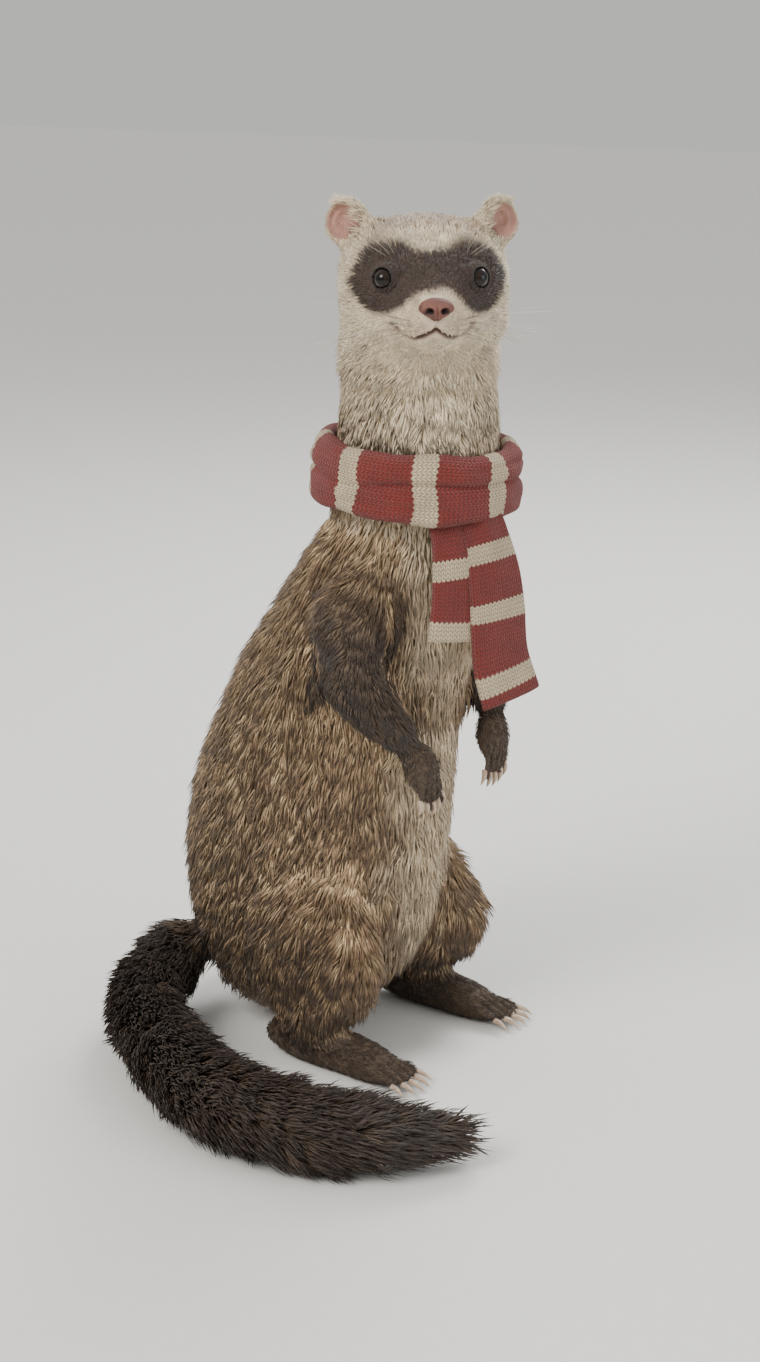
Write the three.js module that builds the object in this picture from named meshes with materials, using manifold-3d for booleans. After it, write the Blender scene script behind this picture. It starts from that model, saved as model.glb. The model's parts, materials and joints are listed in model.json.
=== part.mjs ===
// A life-size sable ferret that sits up on its haunches, wearing a striped scarf, as a still model.
// Millimetres, +Z up. The body faces -Y, its left side is +X, and it rests on the floor at Z = 0.
// The head is turned to the animal's right, and the bushy tail lies round that side on the floor.
import * as THREE from 'three';
import { mergeVertices } from 'three/addons/utils/BufferGeometryUtils.js';
import Module from 'manifold-3d';

const wasm = await Module();
wasm.setup();

// Driving dimensions.
const gap = 0.3; // between pieces that meet
const crownHeight = 348; // top of the skull above the floor
const headTurn = -50; // degrees from the body's heading to the snout's, towards the animal's right
const headDip = 2; // degrees the snout points below level
const headReach = 10; // how far the skull's middle lies in front of the neck's axis
const skullTop = 28; // skull's middle to its crown
const eyeRadius = 4.8;
const earRadius = 10.5;
const neckCut = 288; // height of the seam between neck and head
const trunkTop = 236; // height of the seam between torso and neck, under the scarf
const scarfWidth = 26;
const scarfThickness = 7; // of the wrapped part, two folds deep
const endThickness = 3.6; // of one hanging end
const tailFurRadius = 24; // furthest reach of the tail's coat from its axis
const coreShare = 0.44; // of the way from the tail's axis to the tips of its coat, for its core
const lockRows = 11; // rows of locks along the tail
const lockRun = 40; // how far along the tail a lock reaches
const lockThickness = 5;
const footHalfSpread = 38; // each hind foot's middle from the plane of symmetry
const pawHalfSpread = 25; // each forepaw's middle from the plane of symmetry

// Places on the body read as distances to the animal's left, forward, and up.
const at = (left, fore, up) => new THREE.Vector3(left, -fore, up);
const radians = THREE.MathUtils.degToRad;

// Colours and finishes, one for each kind of surface.
const finish = (color, roughness) => new THREE.MeshStandardMaterial({ color, roughness, metalness: 0 });
const sableCoat = finish(0x6b5138, 0.9);
const paleCoat = finish(0xcdbb9c, 0.9);
const darkCoat = finish(0x2f2119, 0.9);
const nosePad = finish(0xa8736a, 0.45);
const earSkin = finish(0xc9a592, 0.8);
const eyeGloss = finish(0x0d0807, 0.1);
const scarfCloth = finish(0x9c3b2a, 0.95);

// A geometry's bare closed surface, with its shared vertices merged.
function bareSurface(geometry) {
  const loose = geometry.index ? geometry.toNonIndexed() : geometry;
  const bare = new THREE.BufferGeometry().setAttribute('position', loose.getAttribute('position'));
  return mergeVertices(bare, 1e-4);
}

function solidFrom(geometry) {
  const bare = bareSurface(geometry);
  return new wasm.Manifold(
    new wasm.Mesh({
      numProp: 3,
      vertProperties: new Float32Array(bare.getAttribute('position').array),
      triVerts: new Uint32Array(bare.index.array),
    }),
  );
}

function geometryFrom(solid) {
  const mesh = solid.getMesh();
  const geometry = new THREE.BufferGeometry();
  geometry.setAttribute('position', new THREE.BufferAttribute(mesh.vertProperties, 3));
  geometry.setIndex(new THREE.BufferAttribute(mesh.triVerts, 1));
  geometry.computeVertexNormals();
  return geometry;
}

// The same closed surface moved outwards, to cut room for a piece in its neighbours.
function swollen(geometry, distance) {
  const bare = bareSurface(geometry);
  bare.computeVertexNormals();
  const place = bare.getAttribute('position');
  const normal = bare.getAttribute('normal');
  for (let i = 0; i < place.count; i++) {
    place.setXYZ(
      i,
      place.getX(i) + normal.getX(i) * distance,
      place.getY(i) + normal.getY(i) * distance,
      place.getZ(i) + normal.getZ(i) * distance,
    );
  }
  bare.deleteAttribute('normal');
  return bare;
}

const fused = (forms) => forms.map(solidFrom).reduce((whole, form) => whole.add(form));
const roomFor = (forms) => fused(forms.map((form) => swollen(form, gap)));

// After a cut, a piece keeps its largest closed body.
function largest(solid) {
  return solid.decompose().reduce((best, piece) => (piece.volume() > best.volume() ? piece : best));
}

// A block that reaches far past the animal, above or below a height.
function blockAbove(height) {
  const reach = 600;
  return solidFrom(new THREE.BoxGeometry(reach, reach, reach).translate(0, 0, height + reach / 2));
}
const above = (solid, height) => solid.intersect(blockAbove(height));
const below = (solid, height) => solid.subtract(blockAbove(height));

// A closed body moulded from a sphere whose rings become ovals at the stations of a smooth path.
// A station has a place and the oval's half width and its reach to the front and to the back.
// heading fixes the direction that the ovals face; without it they stand square to the path.
// square is 2 for a true oval and more for a boxy one, and blunt shapes both ends in the same way.
function moulded(stations, { sides, rings, front, heading, square = 2, blunt = 2.5 }) {
  const path = new THREE.CatmullRomCurve3(stations.map((s) => s.place), false, 'centripetal');
  const sizes = new THREE.CatmullRomCurve3(
    stations.map((s) => new THREE.Vector3(s.half, s.front, s.back ?? s.front)),
    false,
    'centripetal',
  );
  const geometry = bareSurface(new THREE.SphereGeometry(1, sides, rings));
  const vertex = geometry.getAttribute('position');
  const oval = (c) => Math.sign(c) * Math.abs(c) ** (2 / square);
  for (let i = 0; i < vertex.count; i++) {
    const along = THREE.MathUtils.clamp((1 - vertex.getY(i)) / 2, 0, 1);
    const size = sizes.getPoint(along);
    const round = Math.max(0, 1 - Math.abs(2 * along - 1) ** blunt) ** (1 / blunt);
    const turn = Math.atan2(vertex.getX(i), vertex.getZ(i));
    const tangent = heading ?? path.getTangent(along);
    const aside = new THREE.Vector3().crossVectors(front, tangent).normalize();
    const ahead = new THREE.Vector3().crossVectors(tangent, aside).normalize();
    const reach = Math.cos(turn) > 0 ? size.y : size.z;
    const place = path
      .getPoint(along)
      .addScaledVector(aside, oval(Math.sin(turn)) * size.x * round)
      .addScaledVector(ahead, oval(Math.cos(turn)) * reach * round);
    vertex.setXYZ(i, place.x, place.y, place.z);
  }
  return outwards(geometry);
}

// A surface that came out inside out, its faces turned round.
function outwards(geometry) {
  const index = geometry.index;
  if (solidFrom(geometry).volume() < 0) {
    for (let i = 0; i < index.count; i += 3) {
      const second = index.getX(i + 1);
      index.setX(i + 1, index.getX(i + 2));
      index.setX(i + 2, second);
    }
  }
  return geometry;
}

// An egg-shaped form by its middle and its reach to the side, forward and up.
function egg(middle, side, fore, up, sides = 12, rings = 8) {
  return bareSurface(new THREE.SphereGeometry(1, sides, rings))
    .scale(side, fore, up)
    .translate(middle.x, middle.y, middle.z);
}

const forwards = new THREE.Vector3(0, -1, 0);
const upwards = new THREE.Vector3(0, 0, 1);

// Torso: level ovals from the rump to the base of the neck.
const trunkLevels = [
  { up: 3, back: -84, belly: -30, half: 33 },
  { up: 20, back: -104, belly: -12, half: 43 },
  { up: 46, back: -114, belly: 2, half: 48 },
  { up: 76, back: -116, belly: 9, half: 48 },
  { up: 106, back: -111, belly: 12, half: 46 },
  { up: 136, back: -99, belly: 15, half: 44 },
  { up: 166, back: -83, belly: 21, half: 41.5 },
  { up: 190, back: -67, belly: 29, half: 39.5 },
  { up: 212, back: -53, belly: 33, half: 37.5 },
  { up: 232, back: -43, belly: 33, half: 35 },
  { up: 254, back: -38, belly: 33, half: 34 },
];

function levelOvals(levels, options) {
  const stations = levels.map(({ up, back, belly, half }) => ({
    place: at(0, (back + belly) / 2, up),
    half,
    front: (belly - back) / 2,
  }));
  return moulded(stations, { front: forwards, heading: upwards, ...options });
}

const torsoForms = [levelOvals(trunkLevels, { sides: 24, rings: 18, blunt: 4 })];
const torso = below(fused(torsoForms), trunkTop - gap / 2);
const torsoRoom = roomFor(torsoForms);

// Neck: a thick column, turned up into the skull.
const neckLevels = [
  { up: 200, back: -50, belly: 32, half: 36 },
  { up: 222, back: -43, belly: 33.5, half: 35.5 },
  { up: 245, back: -37, belly: 33.5, half: 34.5 },
  { up: 268, back: -34.5, belly: 32.5, half: 33.5 },
  { up: 292, back: -34, belly: 32, half: 33 },
  { up: 318, back: -31, belly: 29, half: 30 },
  { up: 334, back: -22, belly: 20, half: 21 },
];
const neckForms = [levelOvals(neckLevels, { sides: 22, rings: 10, blunt: 5 })];
const neck = below(above(fused(neckForms), trunkTop + gap / 2), neckCut - gap / 2);

// The head's own frame: its middle is the middle of the skull, and the snout points to its -Y.
const headFrame = new THREE.Group();
headFrame.rotation.set(radians(headDip), 0, radians(headTurn), 'ZXY');
headFrame.position
  .copy(at(0, 0, crownHeight - skullTop))
  .addScaledVector(forwards.clone().applyEuler(headFrame.rotation), headReach);
headFrame.updateMatrix();

// Skull and muzzle: upright ovals from the nape to the nose.
const skullOvals = [
  { fore: -38, up: -2, half: 23, top: 19, bottom: 21 },
  { fore: -27, up: -1, half: 29.5, top: 24.5, bottom: 25 },
  { fore: -13, up: 0, half: 33.5, top: 27.7, bottom: 28 },
  { fore: 0, up: 0, half: 34.5, top: 28, bottom: 29 },
  { fore: 12, up: -0.5, half: 31.5, top: 25, bottom: 27 },
  { fore: 22, up: -1, half: 24.5, top: 19, bottom: 22.5 },
  { fore: 30, up: -2.5, half: 16.5, top: 12.5, bottom: 17 },
  { fore: 37, up: -3.5, half: 12, top: 8.5, bottom: 12.5 },
  { fore: 43, up: -3.5, half: 9, top: 5.5, bottom: 9 },
];
const eyeSeat = { left: 16.6, fore: 23.2, up: 6.2 };
const noseSeat = { fore: 42, up: -2 };
const bothSides = [-1, 1];

function skullForms() {
  const skull = moulded(
    skullOvals.map(({ fore, up, half, top, bottom }) => ({
      place: at(0, fore, up),
      half,
      front: top,
      back: bottom,
    })),
    { sides: 24, rings: 20, front: upwards, heading: forwards, square: 2.3, blunt: 4 },
  );
  const pairs = bothSides.flatMap((side) => [
    egg(at(side * 18, 3, -11), 16, 20, 15.5), // cheek
    egg(at(side * 6, 33.5, -7), 7.4, 9, 6.6), // whisker pad
  ]);
  const chin = egg(at(0, 30, -15.5), 8.5, 10, 5.5);
  return [skull, ...pairs, chin];
}

// Where a line from inside the head meets its surface.
function surfacePoint(skin, from, towards) {
  const ray = new THREE.Raycaster(from, towards.clone().normalize());
  return ray.intersectObject(skin).at(-1).point;
}

function tubeThrough(points, radius, steps, sides = 6) {
  const section = new THREE.Shape();
  section.absarc(0, 0, radius, 0, 2 * Math.PI);
  return new THREE.ExtrudeGeometry(section, {
    steps,
    curveSegments: sides / 2,
    extrudePath: new THREE.CatmullRomCurve3(points),
    bevelEnabled: false,
  });
}

// The line of the mouth, from corner to corner under the nose, as places on the muzzle's skin.
function mouthLine(skin) {
  const from = at(0, 24, -9);
  const corner = 74; // degrees from straight ahead to each corner of the mouth
  return [-1, -0.72, -0.45, -0.2, 0, 0.2, 0.45, 0.72, 1].map((share) => {
    const turn = radians(corner * share);
    const fall = -0.26 * Math.sin(Math.PI * Math.min(1, Math.abs(share) * 1.1)) - 0.04;
    return surfacePoint(skin, from, at(Math.sin(turn), Math.cos(turn), fall));
  });
}

const inHead = (geometry) => geometry.applyMatrix4(headFrame.matrix);

function eyeForm(side, sides = 14, rings = 8) {
  const seat = at(side * eyeSeat.left, eyeSeat.fore, eyeSeat.up);
  return egg(seat, eyeRadius, eyeRadius, eyeRadius, sides, rings);
}

// Upper and lower lid as one rim round the opening of the eye.
function lidForm(side) {
  const outlook = at(side * 0.66, 0.72, 0.16).normalize();
  const rim = new THREE.TorusGeometry(4.15, 1.15, 5, 12).scale(1.06, 0.94, 1);
  rim.applyQuaternion(new THREE.Quaternion().setFromUnitVectors(upwards, outlook));
  const place = at(side * eyeSeat.left, eyeSeat.fore, eyeSeat.up).addScaledVector(outlook, 2.7);
  return bareSurface(rim).translate(place.x, place.y, place.z);
}

function noseForm() {
  return egg(at(0, noseSeat.fore, noseSeat.up), 6.2, 4.4, 4.3);
}

function nostrils() {
  const openings = bothSides.map((side) =>
    egg(at(side * 3, noseSeat.fore + 4, noseSeat.up - 0.2), 1.5, 2, 1.2, 8, 6),
  );
  return fused(openings);
}

// Ear: a rounded cup that faces forward and a little outward.
function earFrame(side) {
  const frame = new THREE.Object3D();
  frame.position.copy(at(side * 27, -6, 20.5));
  frame.rotation.set(radians(-8), radians(side * 38), radians(side * 24), 'ZYX');
  frame.updateMatrix();
  return frame.matrix;
}

const earOuter = (side) =>
  egg(at(0, 0, 3), earRadius, 5, earRadius, 14, 10).applyMatrix4(earFrame(side));
const earHollow = (side) =>
  egg(at(0, 4.6, 4), earRadius - 2.4, 6, earRadius - 2.6).applyMatrix4(earFrame(side));

function headSolids() {
  const plainForms = skullForms();
  const skin = new THREE.Mesh(
    geometryFrom(fused(plainForms)),
    new THREE.MeshBasicMaterial({ side: THREE.DoubleSide }),
  );
  const mouth = mouthLine(skin);
  const lips = tubeThrough(mouth, 1.5, 14);
  const groove = tubeThrough(mouth, 0.75, 14);
  const philtrum = tubeThrough([mouth[4], at(0, noseSeat.fore + 2, noseSeat.up - 3)], 0.5, 2);
  const outer = [...plainForms, lips, ...bothSides.map(lidForm)].map(inHead);
  const throat = above(fused(neckForms), neckCut + gap / 2);
  const seats = roomFor([...bothSides.map((side) => eyeForm(side)), noseForm()].map(inHead));
  const lines = fused([groove, philtrum].map(inHead));
  const room = roomFor(outer);
  const solids = {};
  solids.head = above(fused(outer), neckCut + gap / 2).add(throat).subtract(seats).subtract(lines);
  solids.nose = fused([inHead(noseForm())]).subtract(nostrils().transform(headFrame.matrix.elements));
  for (const side of bothSides) {
    const name = side > 0 ? 'left' : 'right';
    solids['eye_' + name] = fused([inHead(eyeForm(side))]);
    solids['ear_' + name] = fused([inHead(earOuter(side))])
      .subtract(fused([inHead(earHollow(side))]))
      .subtract(room);
  }
  return solids;
}

// Five toes, each with its claw, fanned across the front of a paw.
// The middle toe runs from knuckles to tips, across is the direction from toe to toe, lift points
// away from the sole, width is half the paw's width, and claw is the length of a claw.
function toeForms({ knuckles, tips, across, lift, width, claw }) {
  const forms = [];
  for (let toe = 0; toe < 5; toe++) {
    const fan = (toe - 2) / 2;
    const arch = 1 - 0.2 * fan * fan;
    const root = knuckles.clone().addScaledVector(across, fan * width * 0.62);
    const end = knuckles.clone().lerp(tips, arch).addScaledVector(across, fan * width * 0.8);
    const middle = root.clone().lerp(end, 0.6).addScaledVector(lift, 1.6);
    const thick = width * 0.27;
    forms.push(
      moulded(
        [
          { place: root, half: thick * 0.9, front: thick * 0.9 },
          { place: middle, half: thick, front: thick * 0.95 },
          { place: end, half: thick * 0.85, front: thick * 0.8 },
        ],
        { sides: 6, rings: 4, front: lift },
      ),
    );
    const heading = end.clone().sub(root).normalize();
    const nail = end.clone().addScaledVector(heading, claw).addScaledVector(lift, -claw * 0.35);
    forms.push(
      moulded(
        [
          { place: end.clone().addScaledVector(heading, -1.5), half: 1.1, front: 1.3 },
          { place: end.clone().lerp(nail, 0.55).addScaledVector(lift, 0.6), half: 0.8, front: 1 },
          { place: nail, half: 0.35, front: 0.4 },
        ],
        { sides: 5, rings: 3, front: lift },
      ),
    );
  }
  return forms;
}

// Foreleg: shoulder, elbow bent back, and forearm hanging forward to the wrist.
function forelegForms(side) {
  return [
    moulded(
      [
        { place: at(side * 24, 2, 220), half: 14, front: 17 },
        { place: at(side * 34, -4, 200), half: 16, front: 20 },
        { place: at(side * 42, -7, 178), half: 14, front: 16.5 },
        { place: at(side * 40, 2, 161), half: 12, front: 12.5 },
        { place: at(side * 34, 12, 149), half: 10.5, front: 10.5 },
        { place: at(side * 29, 17, 138), half: 9, front: 9 },
      ],
      { sides: 13, rings: 10, front: forwards },
    ),
    ...[-1, 0, 1].map((share) =>
      lockForm(
        [
          at(side * (38 + share * 5), -10, 182 - share * 2),
          at(side * (41 + share * 6), -21, 174 - share * 2),
          at(side * (42 + share * 6), -25.5, 166 - share * 2),
          at(side * (42 + share * 6), -27, 158 - share * 3),
        ],
        at(0, -1, 0),
        9,
        5,
      ),
    ),
  ];
}

function forepawForms(side) {
  const wrist = at(side * 29, 16, 144);
  const knuckles = at(side * pawHalfSpread, 20, 129);
  const tips = at(side * (pawHalfSpread - 2), 22, 118);
  const lift = at(0, 1, 0.12).normalize();
  const across = at(1, 0, 0);
  return [
    moulded(
      [
        { place: wrist, half: 8.6, front: 8.2 },
        { place: wrist.clone().lerp(knuckles, 0.55), half: 9, front: 7.2 },
        { place: knuckles, half: 9.4, front: 6 },
        { place: knuckles.clone().lerp(tips, 0.45), half: 8, front: 4.4 },
      ],
      { sides: 12, rings: 8, front: lift },
    ),
    ...toeForms({ knuckles, tips, across, lift, width: 9.6, claw: 4.2 }),
  ];
}

// Haunch: the folded thigh and shank as one rounded mass at the side of the rump.
function haunchForms(side) {
  return [
    egg(at(side * 34, -32, 53), 19, 36, 39, 18, 12),
    egg(at(side * 40, -11, 46), 13, 20, 26),
    moulded(
      [
        { place: at(side * 41, -8, 38), half: 12, front: 13 },
        { place: at(side * 40, -22, 24), half: 11, front: 13 },
        { place: at(side * footHalfSpread, -40, 14), half: 9, front: 10 },
      ],
      { sides: 12, rings: 8, front: forwards },
    ),
  ];
}

function hindFootForms(side) {
  const lift = upwards;
  const knuckles = at(side * footHalfSpread, 9, 5.5);
  const tips = at(side * (footHalfSpread + 1), 24, 4.2);
  return [
    moulded(
      [
        { place: at(side * footHalfSpread, -52, 9), half: 8, front: 9, back: 10 },
        { place: at(side * footHalfSpread, -34, 9), half: 9.5, front: 12, back: 10.5 },
        { place: at(side * footHalfSpread, -10, 8), half: 9.4, front: 10, back: 9.5 },
        { place: at(side * footHalfSpread, 10, 5.5), half: 10.5, front: 7.5, back: 7 },
        { place: at(side * footHalfSpread, 20, 4.5), half: 9, front: 5, back: 5.5 },
      ],
      { sides: 12, rings: 10, front: lift },
    ),
    ...toeForms({ knuckles, tips, across: at(1, 0, 0), lift, width: 11.4, claw: 5 }),
  ];
}

// Tail: from the rump down to the floor, round the animal's right side and forward past the feet.
const tailCourse = new THREE.CatmullRomCurve3(
  [
    at(0, -84, 40),
    at(-20, -104, 29),
    at(-56, -99, 22),
    at(-88, -70, 19.5),
    at(-115, -19, 19),
    at(-113, 33, 17),
    at(-78, 76, 12.5),
  ],
  false,
  'centripetal',
);
// How far the coat reaches from the tail's axis at shares of its length.
const tailReach = [0.72, 0.84, 0.95, 1, 1, 0.86, 0.36].map((share) => share * tailFurRadius);
// Shares of its length where the tail is parted, each just before a row of locks.
const tailSeams = [0.394, 0.652];

const reachAt = new THREE.CatmullRomCurve3(
  tailReach.map((reach, i) => new THREE.Vector3(i, reach, 0)),
);

function tailForm(share) {
  const stations = tailReach.map((reach, i) => ({
    place: tailCourse.getPoint(i / (tailReach.length - 1)),
    half: reach * share,
    front: reach * share,
  }));
  return moulded(stations, { sides: 10, rings: 16, front: upwards, blunt: 5 });
}

// Even, repeatable scatter between -1 and 1.
function scatterFrom(seed) {
  let state = seed;
  return () => {
    state = (state * 16807) % 2147483647;
    return (state / 2147483647) * 2 - 1;
  };
}

// A flat, tapered lock of hair through four places, broad side facing out.
function lockForm(places, out, width, thickness) {
  const taper = [0.7, 1, 0.72, 0.12];
  const stations = places.map((place, i) => ({
    place,
    half: (width / 2) * taper[i],
    front: (thickness / 2) * taper[i],
  }));
  return moulded(stations, { sides: 5, rings: 4, front: out });
}

// The tail's place, frame and reach at a distance along it; past its end it goes straight on.
function tailAt(distance) {
  const length = tailCourse.getLength();
  const share = Math.min(1, distance / length);
  const along = tailCourse.getTangentAt(share);
  const place = tailCourse.getPointAt(share).addScaledVector(along, Math.max(0, distance - length));
  const aside = new THREE.Vector3().crossVectors(along, upwards).normalize();
  const raised = new THREE.Vector3().crossVectors(aside, along);
  const reach = reachAt.getPoint(tailCourse.getUtoTmapping(share)).y;
  return { place, aside, raised, reach };
}

// Rows of locks that lean towards the tip, each row set between the locks of the row before.
function tailLocks() {
  const scatter = scatterFrom(29);
  const length = tailCourse.getLength();
  const locks = [];
  for (let row = 0; row < lockRows; row++) {
    const start = length * (0.06 + (0.86 * row) / (lockRows - 1));
    const around = Math.round(2.6 + tailAt(start).reach * 0.14);
    for (let k = 0; k < around; k++) {
      const turn = (2 * Math.PI * (k + (row % 2) / 2 + scatter() * 0.12)) / around;
      const run = lockRun * (1 + scatter() * 0.14);
      const spot = (share, out) => {
        const { place, aside, raised, reach } = tailAt(start + run * share);
        const radial = raised.multiplyScalar(Math.cos(turn)).addScaledVector(aside, Math.sin(turn));
        place.addScaledVector(radial, reach * out);
        place.z = Math.max(place.z, lockThickness * 0.3);
        return place;
      };
      const tip = Math.min(0.99, 0.95 + scatter() * 0.04);
      const places = [spot(0, coreShare * 0.4), spot(0.35, 0.72), spot(0.72, 0.9), spot(1, tip)];
      const { aside, raised, reach } = tailAt(start + run * 0.4);
      const out = raised.multiplyScalar(Math.cos(turn)).addScaledVector(aside, Math.sin(turn));
      const width = (2 * Math.PI * reach * 0.8) / around;
      locks.push(lockForm(places, out, width, lockThickness));
    }
  }
  return locks;
}

// A block that holds all of the tail past one of its seams.
function pastSeam(share) {
  const place = tailCourse.getPointAt(share);
  const heading = tailCourse.getTangentAt(share);
  const block = new THREE.BoxGeometry(120, 120, 400).translate(0, 0, 200);
  block.applyQuaternion(new THREE.Quaternion().setFromUnitVectors(upwards, heading));
  return solidFrom(block.translate(place.x, place.y, place.z));
}

// Scarf: the band wrapped round the neck, with a fold along its middle.
function scarfWrapForm() {
  const inner = 29;
  const outer = 34.5 + scarfThickness;
  const half = scarfWidth / 2;
  const profile = [
    [inner, -half + 1],
    [outer - 3, -half],
    [outer - 0.4, -half * 0.72],
    [outer, -half * 0.4],
    [outer - 1.6, 0],
    [outer - 0.8, half * 0.4],
    [outer - 1.4, half * 0.74],
    [outer - 4, half],
    [inner, half - 1],
    [inner, -half + 1],
  ].map(([r, h]) => new THREE.Vector2(r, h));
  const ring = new THREE.LatheGeometry(profile, 26).rotateX(Math.PI / 2);
  return outwards(bareSurface(ring.scale(1, 1.03, 1).rotateX(radians(4)).translate(0, 2, 247)));
}

// A hanging end of the scarf, a flat band that faces out from the chest.
function scarfEndForm(places, facing) {
  const stations = places.map((place, i) => ({
    place,
    half: i < 2 ? scarfWidth * 0.38 : scarfWidth / 2,
    front: endThickness / 2,
  }));
  return moulded(stations, { sides: 12, rings: 12, front: facing, square: 6, blunt: 24 });
}

// The finished solids, by name.
const solids = { torso, neck, ...headSolids() };
for (const side of bothSides) {
  const name = side > 0 ? 'left' : 'right';
  const haunch = haunchForms(side);
  const paw = forepawForms(side);
  solids['foreleg_' + name] = fused(forelegForms(side)).subtract(torsoRoom).subtract(roomFor([paw[0]]));
  solids['forepaw_' + name] = fused(paw);
  solids['haunch_' + name] = fused(haunch).subtract(torsoRoom);
  solids['hind_foot_' + name] = above(
    fused(hindFootForms(side)).subtract(roomFor(haunch)).subtract(torsoRoom),
    0,
  );
}

const tail = above(fused([tailForm(coreShare), ...tailLocks()]).subtract(torsoRoom), 0);
const seamGap = gap / tailCourse.getLength();
solids.tail_root = tail.subtract(pastSeam(tailSeams[0]));
solids.tail_middle = tail.intersect(pastSeam(tailSeams[0] + seamGap)).subtract(pastSeam(tailSeams[1]));
solids.tail_tip = tail.intersect(pastSeam(tailSeams[1] + seamGap));

const scarfWrap = scarfWrapForm();
const longEnd = scarfEndForm(
  [at(-11, 35, 242), at(-11, 38.5, 224), at(-8, 40.5, 200), at(-6, 42, 178), at(-3, 46, 161)],
  at(-0.4, 0.92, 0),
);
const shortEnd = scarfEndForm(
  [at(-20, 29, 242), at(-20, 32, 224), at(-19, 33, 205), at(-21, 32, 187)],
  at(-0.5, 0.86, 0),
);
const neckRoom = roomFor(neckForms);
solids.scarf_wrap = fused([scarfWrap]).subtract(neckRoom).subtract(torsoRoom);
solids.scarf_end_long = fused([longEnd]).subtract(roomFor([scarfWrap])).subtract(torsoRoom);
solids.scarf_end_short = fused([shortEnd])
  .subtract(roomFor([scarfWrap]))
  .subtract(torsoRoom)
  .subtract(roomFor([longEnd]));

const looks = {
  torso: sableCoat,
  neck: sableCoat,
  head: paleCoat,
  nose: nosePad,
  ear: earSkin,
  eye: eyeGloss,
  foreleg: darkCoat,
  forepaw: darkCoat,
  haunch: sableCoat,
  hind_foot: darkCoat,
  tail: darkCoat,
  scarf: scarfCloth,
};
const lookOf = (name) => looks[Object.keys(looks).find((start) => name.startsWith(start))];

// The model's origin is the middle of its bounding box, on the floor.
const ferret = new THREE.Group();
ferret.add(headFrame);
const bounds = new THREE.Box3();
for (const [name, solid] of Object.entries(solids)) {
  const geometry = geometryFrom(largest(solid));
  geometry.computeBoundingBox();
  bounds.union(geometry.boundingBox);
  const onHead = ['head', 'nose', 'ear', 'eye'].includes(name.split('_')[0]);
  if (onHead) {
    geometry.applyMatrix4(headFrame.matrix.clone().invert());
  }
  const mesh = new THREE.Mesh(geometry, lookOf(name));
  mesh.name = name;
  (onHead ? headFrame : ferret).add(mesh);
}
const middle = bounds.getCenter(new THREE.Vector3());
ferret.position.set(-middle.x, -middle.y, 0);

export default ferret;
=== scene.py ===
# %% [markdown]
# # A sable ferret in a striped scarf
# The animal sits up on its haunches, life-size. The solids are already there as a fixed frame,
# and this script dresses them: one skin, a coat of fur, eyes, nose, claws, whiskers and a scarf.
# Everything is in metres, and small sizes are written in millimetres times MM.

# %% Load the frame
import json
import math
import bmesh
import bpy
import numpy as np
from mathutils import Matrix, Vector, kdtree
from mathutils.bvhtree import BVHTree


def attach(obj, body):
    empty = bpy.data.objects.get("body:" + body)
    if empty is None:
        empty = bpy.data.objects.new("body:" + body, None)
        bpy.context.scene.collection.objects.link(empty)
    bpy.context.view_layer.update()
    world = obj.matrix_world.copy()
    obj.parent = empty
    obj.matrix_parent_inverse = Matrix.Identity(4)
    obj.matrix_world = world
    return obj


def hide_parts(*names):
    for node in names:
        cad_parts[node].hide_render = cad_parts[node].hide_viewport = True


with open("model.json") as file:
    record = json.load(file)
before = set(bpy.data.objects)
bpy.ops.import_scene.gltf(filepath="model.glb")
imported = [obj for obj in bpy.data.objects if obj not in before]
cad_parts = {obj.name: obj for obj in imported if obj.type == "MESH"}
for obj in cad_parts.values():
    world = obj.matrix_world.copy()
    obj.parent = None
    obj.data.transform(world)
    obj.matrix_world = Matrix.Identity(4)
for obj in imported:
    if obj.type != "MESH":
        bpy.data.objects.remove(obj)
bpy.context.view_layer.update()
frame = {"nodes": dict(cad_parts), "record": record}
MM = 0.001
nodes = frame["nodes"]


def added(name, data):
    """A new object with this data, in the scene."""
    thing = bpy.data.objects.new(name, data)
    bpy.context.scene.collection.objects.link(thing)
    return thing


def object_from(name, shape):
    """A new object with the faces of a bmesh, which is then let go."""
    mesh = bpy.data.meshes.new(name)
    shape.to_mesh(mesh)
    shape.free()
    return added(name, mesh)


# %% [markdown]
# ## Where things are
# Places on the body are easiest to say as so many millimetres to its left, forward and up.
# The record gives the two soles of the hind feet, and they fix that system in the row's frame.

# %% Places on the body and on the head
SOLE_BACK = 20 * MM
HEAD_TURN = math.radians(-50)
HEAD_DIP = math.radians(2)
HEAD_UP = 320
HEAD_REACH = 10

soles = [Vector(m["pos_m"]) for m in frame["record"]["mounts"]]
origin = (soles[0] + soles[1]) / 2 - Vector((0, SOLE_BACK, 0))


def place(left, fore, up):
    return origin + Vector((left, -fore, up)) * MM


def places_in(points, middle, axes):
    """Left, forward and up in millimetres of many points, in a system of their own."""
    local = (points - np.array(middle)) @ axes / MM
    return local[:, 0], -local[:, 1], local[:, 2]


head_turned = Matrix.Rotation(HEAD_TURN, 3, "Z") @ Matrix.Rotation(HEAD_DIP, 3, "X")
head_middle = place(0, 0, HEAD_UP) + head_turned @ Vector((0, -HEAD_REACH * MM, 0))


def on_head(left, fore, up):
    return head_middle + head_turned @ Vector((left, -fore, up)) * MM


def head_direction(left, fore, up):
    return (head_turned @ Vector((left, -fore, up))).normalized()


HEAD_AXES = np.array(head_turned)


def body_places(points):
    return places_in(points, origin, np.eye(3))


def head_places(points):
    return places_in(points, head_middle, HEAD_AXES)


print("head middle:", [round(v, 4) for v in head_middle])

# %% [markdown]
# ## Camera, light and floor
# A drawing has no lens, so the camera stands where the drawn outline and the solids agree:
# in front and to the animal's right, a little above it, with a long lens.

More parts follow.
